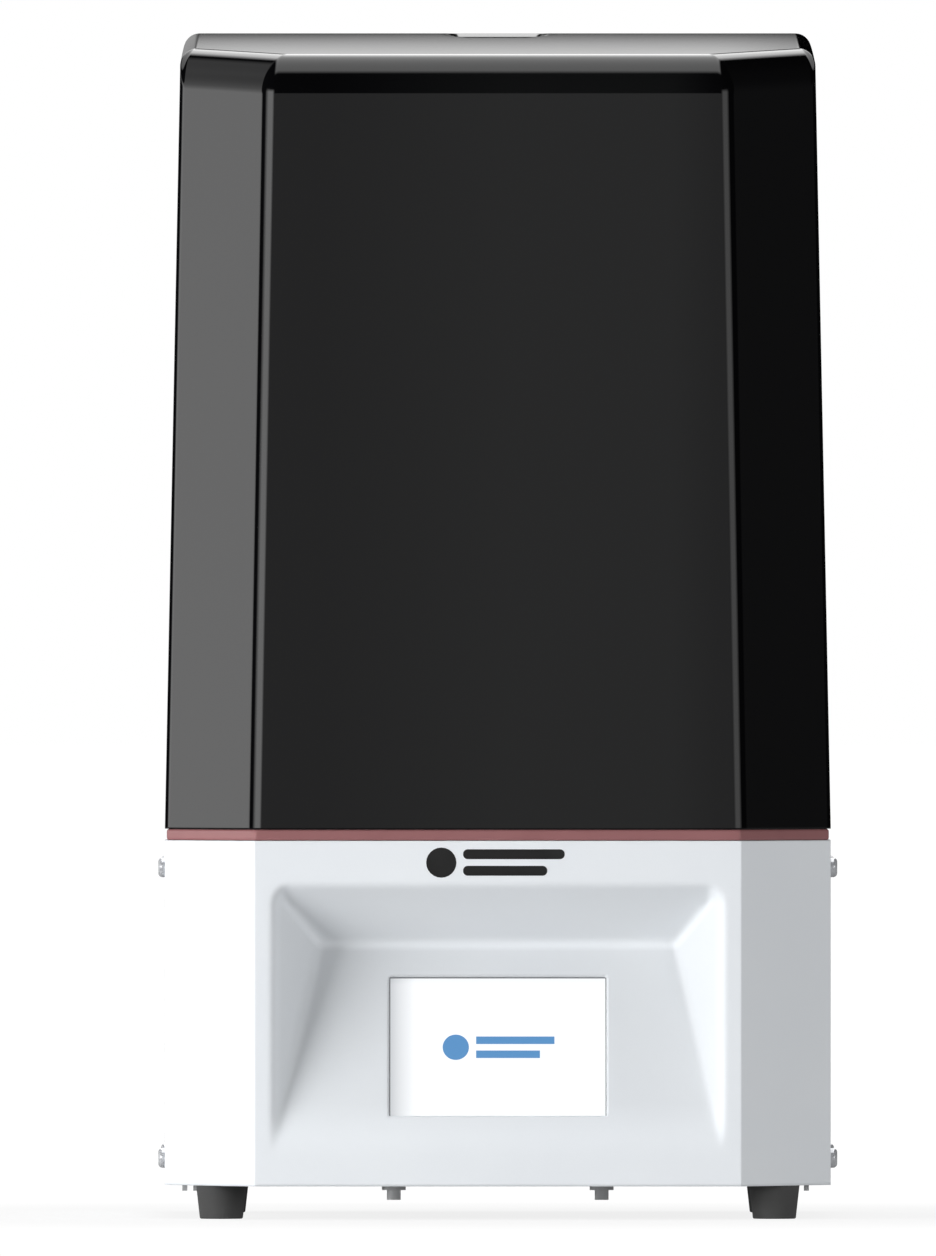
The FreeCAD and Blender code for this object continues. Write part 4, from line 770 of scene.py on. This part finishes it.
# %% The hood's edge profiles
FOOT_Z, ROOF_BACK, ROOF_FRONT = hood_low.z, hood_high.z, 401 * MM
ROOF_DROP = ROOF_BACK - ROOF_FRONT
HOOD_WALL = 3.0 * MM
TOP_CUT = 30.4 * MM
top_plan = plan(109.5 * MM, -105 * MM, 110 * MM, TOP_CUT, TOP_CUT * CHAMFER_Y / CHAMFER_X)
EDGE_RADII = np.array([6.6, 6.6, 8.5, 6.0, 6.0, 8.5]) * MM
SIDE_COUNTS = [40, 10, 12, 160, 12, 10]
PROFILE_ROWS = 14


def arc_profile(radius, crease):
    """A quarter turn that starts at a small crease angle c, for angles a from c to 90 degrees.

    inset = radius (1 - cos a / cos c),  drop = radius (1 - sin a) / (1 - sin c)
    """
    a = np.linspace(crease, math.pi / 2, PROFILE_ROWS)
    return np.stack([radius * (1 - np.cos(a) / math.cos(crease)),
                     radius * (1 - np.sin(a)) / (1 - math.sin(crease))], axis=1)


front_turn = arc_profile(12.5 * MM, math.radians(9))
side_turn = arc_profile(5.5 * MM, 0.0)
back_turn = arc_profile(4.0 * MM, 0.0)
PROFILES = [front_turn, front_turn, side_turn, back_turn, side_turn, front_turn]


def offset_profile(profile, wall):
    """The same profile one wall further in, moved along its own normal."""
    tangent = np.gradient(profile, axis=0)
    tangent /= np.linalg.norm(tangent, axis=1, keepdims=True)
    return profile + wall * np.stack([-tangent[:, 1], tangent[:, 0]], axis=1)


def roof_height(y):
    """The roof falls to the front, a little faster and faster: back - drop (3t + t^2)/4."""
    share = np.clip((top_plan[3, 1] - y) / (top_plan[3, 1] - top_plan[0, 1]), 0, 1)
    return ROOF_BACK - ROOF_DROP * (3 * share + share * share) / 4


print("the hood's roof falls", round(ROOF_DROP / MM, 1), "mm from back to front")

# %% [markdown]
# One function makes the surface for any depth below the skin, so the outer side and the inner side
# of the wall come from the same formula.  Each row of the grid is the plan moved in by that row's
# insets, and every point finds its own height, because the roof slopes.  Rows crowd near the foot,
# the crease and the roof's edge, where they hold the shading of the flats.

# %% The hood's surface
SIDE_ROWS = np.array([0, 0.002, 0.006, 0.15, 0.3, 0.45, 0.6, 0.75, 0.9, 0.985, 0.997])
ROOF_ROWS = np.array([0.002, 0.006, 0.010, 0.014, 0.02, 0.05, 0.09, 0.14, 0.22, 0.32, 0.45, 0.6, 0.75, 0.9])
ROOF_MIDDLE = np.array([0.0, 5 * MM])


def along_sides(per_side, steps=7):
    """One number for each outline point from one number for each side, blended over the corners."""
    blend = np.linspace(0, 1, steps + 1)[:-1]
    blend = blend * blend * (3 - 2 * blend)
    parts = []
    for index, own in enumerate(per_side):
        previous = per_side[index - 1]
        parts += [previous * (1 - blend) + own * blend,
                  np.full(len(side_steps(SIDE_COUNTS[index])), own)]
    return np.concatenate(parts)


def lifted(ring, z):
    """A flat outline raised to one height, or to a height for each point."""
    return np.concatenate([ring, np.broadcast_to(z, len(ring))[:, None]], axis=1)


def tapered_ring(insets, height_of, shrink_radii=0.0):
    """The plan moved in by one inset for each side; x, y glide from foot to top with the height."""
    radii = np.maximum(EDGE_RADII - shrink_radii, 1.2 * MM)
    at_foot = rounded_polygon(inset_polygon(base_plan, insets), radii, SIDE_COUNTS)
    at_top = rounded_polygon(inset_polygon(top_plan, insets), radii, SIDE_COUNTS)
    z = height_of(at_top[:, 1])
    share = ((z - FOOT_Z) / (ROOF_BACK - FOOT_Z))[:, None]
    return lifted(at_foot * (1 - share) + at_top * share, z)


def hood_surface(wall):
    """Rows from the foot to the middle of the roof, all a wall's thickness below the skin."""
    profiles = np.stack([offset_profile(profile, wall) for profile in PROFILES])
    foot = tapered_ring(np.full(6, wall), lambda y: np.full_like(y, FOOT_Z), wall)
    turned = []
    for row in range(PROFILE_ROWS):
        insets, drops = profiles[:, row].T
        fall = along_sides(drops)
        turned.append(tapered_ring(insets, lambda y: roof_height(y) - fall, wall + insets.mean()))
    turned = np.stack(turned)
    up, shrink = SIDE_ROWS[:, None, None], ROOF_ROWS[:, None, None]
    sides = foot * (1 - up) + turned[0] * up
    flat = turned[-1][:, :2] * (1 - shrink) + ROOF_MIDDLE * shrink
    roof = np.concatenate([flat, (roof_height(flat[..., 1]) - wall)[..., None]], axis=-1)
    return np.concatenate([sides, turned, roof])


def smooth_step(value, low_end, high_end):
    """0 below low_end, 1 above high_end, with an S-shaped rise: 3s^2 - 2s^3."""
    share = np.clip((value - low_end) / (high_end - low_end), 0, 1)
    return share * share * (3 - 2 * share)


outer, inner = hood_surface(0.0), hood_surface(HOOD_WALL)
print("hood surface:", outer.shape[0], "rows of", outer.shape[1], "points on each side of the wall")

# %% [markdown]
# A shallow dent in the roof at the back lets a finger take hold of the hood.  It is pressed into the
# grid as well: inside its outline a point sinks to the dent's floor, which rises to the rear.  Then
# the two surfaces are joined at the foot by one strip of faces, which makes the hood a closed solid.

# %% The finger grip and the hood's mesh
GRIP_HALF, GRIP_DEPTH, GRIP_FRONT, GRIP_BACK = 15.6 * MM, 2.0 * MM, 92 * MM, 106 * MM
GRIP_RISE = 1.9 * MM

x, y, z = np.moveaxis(outer, -1, 0)
in_grip = 1 - smooth_step(np.abs(x), GRIP_HALF - 0.8 * MM, GRIP_HALF + 0.8 * MM)
in_grip = in_grip * (1 - smooth_step(y, GRIP_BACK - 0.6 * MM, GRIP_BACK + 0.6 * MM))
in_grip = in_grip * smooth_step(z, ROOF_BACK - 9 * MM, ROOF_BACK - 5 * MM)
grip_share = np.clip((y - GRIP_FRONT) / (GRIP_BACK - GRIP_FRONT), 0, 1)
grip_floor = ROOF_BACK - GRIP_DEPTH + GRIP_RISE * grip_share
outer[..., 2] -= in_grip * np.maximum(z - grip_floor, 0)

rows, columns = outer.shape[:2]
outer_faces = quads(rows, columns, wrap_columns=True)
last_row = np.arange((rows - 1) * columns, rows * columns)
inner_start = rows * columns
foot_i = np.arange(columns)
rim = np.stack([foot_i, inner_start + foot_i, inner_start + (foot_i + 1) % columns,
                (foot_i + 1) % columns], axis=1)
hood_faces = outer_faces.tolist() + (outer_faces[:, ::-1] + inner_start).tolist() + rim.tolist()
hood_faces += [last_row.tolist(), (last_row[::-1] + inner_start).tolist()]
hood = new_piece("hood_smoke", np.concatenate([outer, inner]), hood_faces)
finish_edges(hood, 0.5 * MM, angle=60)
settle(hood, hood_plastic, "hood", "hood_smoke", "hood_shell")
print("hood:", len(hood_faces), "faces")

# %% [markdown]
# ## The seal
#
# A soft strip sits between housing and hood and keeps light and fumes in.  Its section is a rounded
# rectangle that is carried round the plan: each point of the section is a distance inwards and a
# height, and becomes one ring.

# %% The seal's sweep
SEAL_OUTSIDE, SEAL_INSIDE, SEAL_ROUND = 0.7 * MM, 3.6 * MM, 0.9 * MM
SEAL_CORNERS = np.array([1.6, 1.6, 1.6, 5, 5, 1.6]) * MM


def section(inside, outside, bottom, top, radius):
    """A rounded rectangle of (inset, height) pairs between two insets and two heights."""
    box = np.array([(outside, bottom), (outside, top), (inside, top), (inside, bottom)])[::-1]
    return rounded_polygon(box, radius, [1, 1, 1, 1], arc_steps=4)


def swept(name, profile, corners, radii, counts):
    """A closed band: one rounded outline for each point of the profile."""
    rings = np.stack([lifted(rounded_polygon(inset_polygon(corners, inset), radii, counts), height)
                      for inset, height in profile])
    return new_piece(name, rings, quads(*rings.shape[:2], wrap_rows=True, wrap_columns=True).tolist())


seal_profile = section(SEAL_INSIDE, SEAL_OUTSIDE, seal_low.z + SKIN, seal_high.z - SKIN, SEAL_ROUND)
seal = swept("seal_strip", seal_profile, base_plan, SEAL_CORNERS, [4, 2, 2, 4, 2, 2])
settle(seal, seal_plastic, "base", "seal_red", "hood_seal_ring")
print("seal:", len(seal.data.polygons), "faces")

# %% [markdown]
# ## The screen
#
# Behind the window lies a sheet of glass with the lit page on its front.  It is drawn flat, with `up`
# along the sloping floor and `inward` away from the user, and leaned back with the floor.

# %% The leaning glass
SLOPE_Y = FRONT + (WINDOW_CENTRE - RECESS_LOW) * math.tan(LEAN)


def on_slope(x, up, inward):
    """A place on the leaning floor: centre + up (0, sin, cos) + inward (0, cos, -sin) of the lean."""
    y = SLOPE_Y + up * math.sin(LEAN) + inward * math.cos(LEAN)
    z = WINDOW_CENTRE + up * math.cos(LEAN) - inward * math.sin(LEAN)
    return np.stack(np.broadcast_arrays(x, y, z), axis=-1)


def rectangle_ring(half_x, half_y, radius):
    """A rectangle about the centre, with its corners rounded."""
    corners = np.array([(-half_x, -half_y), (half_x, -half_y), (half_x, half_y), (-half_x, half_y)])
    return rounded_polygon(corners, radius, [2, 2, 2, 2], arc_steps=6)


def slab(name, centre, half_x, half_y, radius, depths, insets, place):
    """A rounded slab: one ring for each depth, each moved in by its inset, from back to front."""
    rings = []
    for depth, inset in zip(depths, insets):
        across, up = rectangle_ring(half_x - inset, half_y - inset, radius).T
        rings.append(place(across + centre[0], up + centre[1], depth))
    return stacked_rings(name, np.stack(rings))


GLASS_FRONT, GLASS_THICK, GLASS_GAP = 1.35 * MM, 1.15 * MM, 0.1 * MM
GLASS_EDGE, GLASS_EDGE_INSET = 0.2 * MM, 0.15 * MM
glass = slab("screen_glass_sheet", (0.0, 0.0), WINDOW_X / 2 - GLASS_GAP, WINDOW_UP / 2 - GLASS_GAP, 0.4 * MM,
             np.array([GLASS_FRONT + GLASS_THICK, GLASS_FRONT + GLASS_EDGE, GLASS_FRONT]),
             [0, 0, GLASS_EDGE_INSET], on_slope)
print("glass:", len(glass.data.vertices), "points")

# %% [markdown]
# The page's pattern needs to know where it is on the glass.  A UV map says so: across is x over the
# window's width, and up is the height over the window's, as it leans, both with 1/2 at the centre.

# %% The page's own coordinates
page_uv = glass.data.uv_layers.new(name="page")
loop_vertex = np.zeros(len(glass.data.loops), np.int32)
glass.data.loops.foreach_get("vertex_index", loop_vertex)
glass_co = np.zeros(len(glass.data.vertices) * 3, np.float32)
glass.data.vertices.foreach_get("co", glass_co)
glass_co = glass_co.reshape(-1, 3)
page_u = glass_co[:, 0] / WINDOW_X + 0.5
above_centre = glass_co[:, 2] - WINDOW_CENTRE + GLASS_FRONT * math.sin(LEAN)
page_v = above_centre / (WINDOW_UP * math.cos(LEAN)) + 0.5
page_place = np.stack([page_u, page_v], axis=1)[loop_vertex].astype(np.float32)
page_uv.data.foreach_set("uv", page_place.ravel())
settle(glass, page, "base", "touch_glass")
print("page coordinates:", len(page_place))

# %% [markdown]
# ## The mark on the front
#
# A small black mark is printed above the screen.  It is only a dot and two bars, which say nothing.
# Each is a thin slab whose face stands a few hundredths of a millimetre proud of the paint, so that
# no texture is needed and the edge stays sharp from close up.

# %% Dot and bars
MARK_DEPTH = 0.5 * MM


def on_front(x, z, inward):
    """A place on the upright front: x, height and the distance behind the face."""
    return np.stack(np.broadcast_arrays(x, FRONT + inward, z), axis=-1)


def printed(name, centre, half_x, half_z, radius):
    """One flat mark: a slab from MARK_DEPTH inside the sheet to its face."""
    mark = slab(name, centre, half_x, half_z, radius, (MARK_DEPTH, 0.0), (0, 0), on_front)
    return settle(mark, tape, "base", "black_tape")


printed("mark_dot", (-19.5 * MM, 123 * MM), 5.2 * MM, 5.2 * MM, 5.19 * MM)
printed("mark_bar_high", (5.5 * MM, 125.9 * MM), 17.5 * MM, 1.7 * MM, 1.6 * MM)
printed("mark_bar_low", (2.5 * MM, 120.2 * MM), 14.5 * MM, 1.7 * MM, 1.6 * MM)
print("marks stand", round(SKIN / MM, 2), "mm proud")

# %% [markdown]
# ## The thread
#
# The lead screw has four starts, which rise 8 mm in one turn.  A screw modifier could turn a profile,
# but four starts and plain ends are easier on a grid of angle and height, where the thread is a
# single wave of the phase, starts * (height / lead - turn), with its flanks cut off to flats.

# %% The thread
SCREW_RADIUS, THREAD_DEPTH, THREAD_LEAD, THREAD_STARTS = 4.0 * MM, 0.85 * MM, 8 * MM, 4
PLAIN_FOOT, PLAIN_TIP, TIP_CHAMFER = 36 * MM, 12 * MM, 0.9 * MM


def turned_rings(centre, r, a, z):
    """Points at the radius r and the angle a about an upright axis, at the height z."""
    return np.stack([centre[0] + r * np.cos(a), centre[1] + r * np.sin(a), z], axis=-1)


def threaded(name, centre, bottom, top):
    """r = radius - depth * t, where t is a wave of the phase cut off to flats at 0 and 1."""
    height = np.arange(bottom, top, 0.34 * MM)
    angle = np.linspace(0, 2 * math.pi, 28, endpoint=False)
    h, a = np.meshgrid(height, angle, indexing="ij")
    phase = THREAD_STARTS * h / THREAD_LEAD - THREAD_STARTS * a / (2 * math.pi)
    wave = np.abs((phase % 1) * 2 - 1)
    cut = np.clip((wave - 0.3) / 0.4, 0, 1)
    plain = (h > top - PLAIN_TIP) | (h < bottom + PLAIN_FOOT)
    r = SCREW_RADIUS - THREAD_DEPTH * np.where(plain, 0.0, cut)
    r = np.where(h > top - TIP_CHAMFER, r - 0.7 * MM, r)
    return stacked_rings(name, turned_rings(centre, r, a, h))


screw_low, screw_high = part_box("lead_screw")
thread = threaded("lead_screw_thread", (screw_low + screw_high) / 2, screw_low.z, screw_high.z)
settle(thread, steel, "lead_screw", "ground_steel", "lead_screw")
print("thread:", len(thread.data.polygons), "faces")

# %% [markdown]
# ## The knobs
#
# A knob is turned by hand, so its rim has scallops for the fingers.  It is built from rings too: a
# profile gives each ring its radius and height, and where the radius is wide a power of a cosine
# of the angle cuts the scallops.  The top is slightly dished.

# %% The knobs
def knob(name, centre, profile, lobes, depth):
    """Rings of a (radius, height) profile; where it is wide, ((1 - cos(lobes a))/2)^2 of the depth goes."""
    angle = np.linspace(0, 2 * math.pi, lobes * 10, endpoint=False)
    radius, height = np.array(profile).T
    r, a = np.meshgrid(radius, angle, indexing="ij")
    grip_share = smooth_step(r, radius.max() * 0.80, radius.max() * 0.97)
    groove = (0.5 - 0.5 * np.cos(lobes * a)) ** 2
    r = r - depth * groove * grip_share
    z = np.broadcast_to(height[:, None], r.shape)
    return stacked_rings(name, turned_rings(centre, r, a, z))


def knob_profile(shaft, tip, under, radius, top, crown):
    """A shaft, a flat underside, a straight grip with rounded ends and a dished top."""
    turn = np.linspace(0, math.pi / 2, 7)
    low_round = [(radius - crown * (1 - math.sin(t)), under + crown * (1 - math.cos(t))) for t in turn]
    high_round = [(radius - crown * (1 - math.cos(t)), top - crown * (1 - math.sin(t))) for t in turn]
    dish = [(radius * 0.62, top), (radius * 0.56, top - 0.8 * MM), (radius * 0.1, top - 1.1 * MM)]
    return [(shaft, tip), (shaft, under), (radius * 0.7, under), *low_round, *high_round, *dish]


def add_knob(node, shaft, crown, lobes, depth, head):
    """A knob in place of the frame's plain one: its head's height, shaft and crown radii are given."""
    low_corner, high_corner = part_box(node)
    centre = (low_corner + high_corner) / 2
    radius = (high_corner.x - low_corner.x) / 2
    profile = knob_profile(shaft, low_corner.z, high_corner.z - head, radius, high_corner.z, crown)
    piece = knob(f"{node}_grip", centre, profile, lobes, depth)
    print(node, "is", round(2 * radius / MM, 1), "mm across")
    return settle(piece, knob_plastic, node, "black_plastic", node)


add_knob("platform_knob", 4.0 * MM, 1.6 * MM, 12, 1.3 * MM, 16 * MM)
for side in ("left", "right"):
    add_knob(f"vat_screw_{side}", 2.5 * MM, 1.0 * MM, 14, 0.6 * MM, 12 * MM)

# %% [markdown]
# ## The floor
#
# A plain pale floor runs out to the horizon.  A diffuse floor alone would go grey far away and show
# an edge against the background, so most of it glows by itself.  Close to the printer it still takes
# a soft shadow.  To other rays than the camera's it glows only faintly, or it would light the
# underside of the machine.

# %% Floor
CLOSE_BY, FAR_OFF = 0.02, 0.16
GLOW_SEEN, GLOW_HIDDEN = 1.02, 0.17
FLOOR_RADII = [0.3, 1.0, 4.0, 60.0]
FLOOR_SIDES = 96


def floor_surface():
    """Diffuse and glow mixed; the glow's share goes from 0.82 to 1 with the distance squared."""
    material = bpy.data.materials.new("floor_white")
    material.use_nodes = True
    tree = Tree(material.node_tree)
    place = tree.value(tree.node("ShaderNodeTexCoord"), "Object")
    x, y, _ = tree.parts(place)
    away = (x * x + y * y).ramp(CLOSE_BY, FAR_OFF)
    grain = tree.noise(place, 8.0)
    lit = tree.node("ShaderNodeBsdfDiffuse", Color=tree.mix(grain, (0.86, 0.86, 0.86), (0.88, 0.88, 0.88)))
    seen = tree.value(tree.node("ShaderNodeLightPath"), "Is Camera Ray")
    glow = seen * (GLOW_SEEN - GLOW_HIDDEN) + GLOW_HIDDEN
    plain = tree.node("ShaderNodeEmission", Color=(1.0, 1.0, 1.0, 1.0), Strength=glow)
    both = tree.node("ShaderNodeMixShader", Fac=away * 0.18 + 0.82, _1=tree.value(lit),
                     _2=tree.value(plain))
    tree.node("ShaderNodeOutputMaterial", Surface=tree.value(both))
    return material


turn_angle = np.linspace(0, 2 * math.pi, FLOOR_SIDES, endpoint=False)
radii = np.array(FLOOR_RADII)[:, None]
floor_points = np.stack([radii * np.cos(turn_angle), radii * np.sin(turn_angle),
                         np.zeros((len(FLOOR_RADII), FLOOR_SIDES))], axis=-1)
floor_faces = quads(len(FLOOR_RADII), FLOOR_SIDES, wrap_columns=True)[:, ::-1].tolist()
floor = new_piece("floor", floor_points, floor_faces + [list(range(FLOOR_SIDES))])
floor.data.materials.append(floor_surface())
floor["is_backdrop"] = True
print("floor radius:", FLOOR_RADII[-1], "m")

# %% [markdown]
# ## The studio's light
#
# The hood is almost a mirror, so what it reflects decides how it looks.  Real panels could stand
# round the printer, but a world shader that works out the brightness of each direction is quicker
# to tune and can't be in the way.  Glossy rays see those panels, matt ones see a dim, even room, and
# the camera sees white.  Three soft lamps then shape the white paint.

# %% World
ROOM, ROOM_BACK = 0.05, 0.7


def studio():
    """Brightness by direction.  The azimuth is measured from the viewer's side, left is negative.

    Mirror-like surfaces see narrow panels: one at the left, a wide one at the front left, a weaker
    one at the front right, dim ones in front and at the right, and a band over the top.  Right behind
    the printer are a thin upright strip and a dim patch to its left.  Each is a product of ramps.
    """
    world = bpy.data.worlds.new("studio")
    world.use_nodes = True
    bpy.context.scene.world = world
    tree = Tree(world.node_tree)
    x, y, z = tree.parts(tree.value(tree.node("ShaderNodeTexCoord"), "Generated"))
    azimuth = x.maths("ARCTAN2", x, y * -1.0) * (180 / math.pi)
    height = z.maths("ARCSINE", z) * (180 / math.pi)

    def band(angle, start, full, full_end, end):
        return angle.ramp(start, full) * angle.ramp(end, full_end)

    swung = azimuth + height.larger(0.0) * 0.7
    falling = height.ramp(14.0, 1.5) * 0.45 + height.ramp(52.0, 2.0) * 0.55
    left = band(swung, -124.0, -114.0, -98.0, -92.0) * falling * 2.3
    front_left = band(azimuth, -72.0, -50.0, -26.0, -14.0) * height.ramp(24.0, 14.0) * 3.6
    front_right = band(azimuth, 14.0, 26.0, 46.0, 62.0) * height.ramp(24.0, 14.0) * 1.5
    front = abs(azimuth).ramp(24.0, 12.0) * height.ramp(9.0, 6.0) * 0.46
    swung_right = azimuth - height.larger(0.0) * 0.7
    right = band(swung_right, 92.0, 98.0, 114.0, 121.0) * height.ramp(40.0, 5.0) * 0.05
    over = abs(x).ramp(0.34, 0.22) * y.ramp(-0.45, -0.3) * height.ramp(14.0, 20.0) * 2.3
    behind = abs(x).ramp(0.012, 0.006) * height.ramp(3.4, 7.2) * 1.0
    behind_left = x.ramp(-0.008, -0.02) * height.ramp(12.0, 6.0) * abs(x).ramp(0.3, 0.2) * 0.35
    back = y.ramp(0.6, 0.8) * (behind + behind_left)
    shaped = left + front_left + front_right + front + right + over + back
    path = tree.node("ShaderNodeLightPath")
    mirror = tree.value(path, "Is Glossy Ray")
    room = (1 - mirror) * (y.ramp(0.0, 0.5) * ROOM_BACK + ROOM)
    lamp = tree.node("ShaderNodeBackground", Color=(1.0, 1.0, 1.0, 1.0), Strength=shaped * mirror + room)
    seen = tree.node("ShaderNodeBackground", Color=(1.0, 1.0, 1.0, 1.0), Strength=1.0)
    both = tree.node("ShaderNodeMixShader", Fac=tree.value(path, "Is Camera Ray"), _1=tree.value(lamp),
                     _2=tree.value(seen))
    tree.node("ShaderNodeOutputWorld", Surface=tree.value(both))


studio()
print("world nodes:", len(bpy.context.scene.world.node_tree.nodes))

# %% [markdown]
# The lamps are square panels, large for their distance, so that shadows stay soft.  They are hidden
# from glossy rays, because the hood would otherwise mirror their outlines.

# %% Lamps
def panel_light(name, place, aim, size, watts):
    """A soft area light that lies at a place and faces another."""
    light = bpy.data.lights.new(name, "AREA")
    light.shape = "SQUARE"
    light.size = size
    light.energy = watts
    lamp = bpy.data.objects.new(name, light)
    bpy.context.scene.collection.objects.link(lamp)
    lamp.location = place
    lamp.rotation_mode = "QUATERNION"
    lamp.rotation_quaternion = (Vector(aim) - Vector(place)).to_track_quat("-Z", "Y")
    lamp.visible_glossy = False
    print(name, watts, "W")


panel_light("key_left", (-1.7, -0.9, 0.22), (0, 0, 0.15), 0.9, 60.0)
panel_light("fill_right", (1.35, -1.75, 0.20), (0, 0, 0.12), 1.0, 33.0)
panel_light("top", (0, 0.1, 1.8), (0, 0, 0.2), 1.4, 5.0)

# %% [markdown]
# ## The camera
#
# The printer is seen straight from the front, with almost no perspective.  An orthographic camera
# would lose all of it, so a perspective camera stands far off with a long lens.  The lens follows
# from the height that the view should cover: lens = sensor * distance / height.

# %% Camera
VIEW_WIDTH = 0.3223
VIEW_HEIGHT = VIEW_WIDTH * 1256 / 936
VIEW_CENTRE_X, VIEW_CENTRE_Z = -0.0103, 0.2038
DISTANCE = 15.0
SENSOR = 36.0

camera = bpy.data.cameras.new("camera")
camera.sensor_width = SENSOR
camera.lens = SENSOR * DISTANCE / VIEW_HEIGHT
camera.clip_end = 200.0
eye = bpy.data.objects.new("camera", camera)
eye.location = (VIEW_CENTRE_X, FRONT - DISTANCE, VIEW_CENTRE_Z)
eye.rotation_euler = (math.radians(90), 0, 0)
bpy.context.scene.collection.objects.link(eye)
bpy.context.scene.camera = eye
bpy.context.scene.view_settings.view_transform = "Standard"
print("view:", round(VIEW_WIDTH, 4), "by", round(VIEW_HEIGHT, 4), "m")

# %% [markdown]
# ## Sizes and the table
#
# The new surfaces must not stick out of the engineering parts, or the printer would no longer fit
# where it fits.  So the box round everything is measured again and kept beside the first one.

# %% Sizes and the table
bpy.context.view_layer.update()
looks_box = [list(corner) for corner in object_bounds()]
growth = [[round((b - a) / MM, 2) for a, b in zip(*pair)] for pair in zip(cad_box, looks_box)]
print("box grows by (mm):", growth)
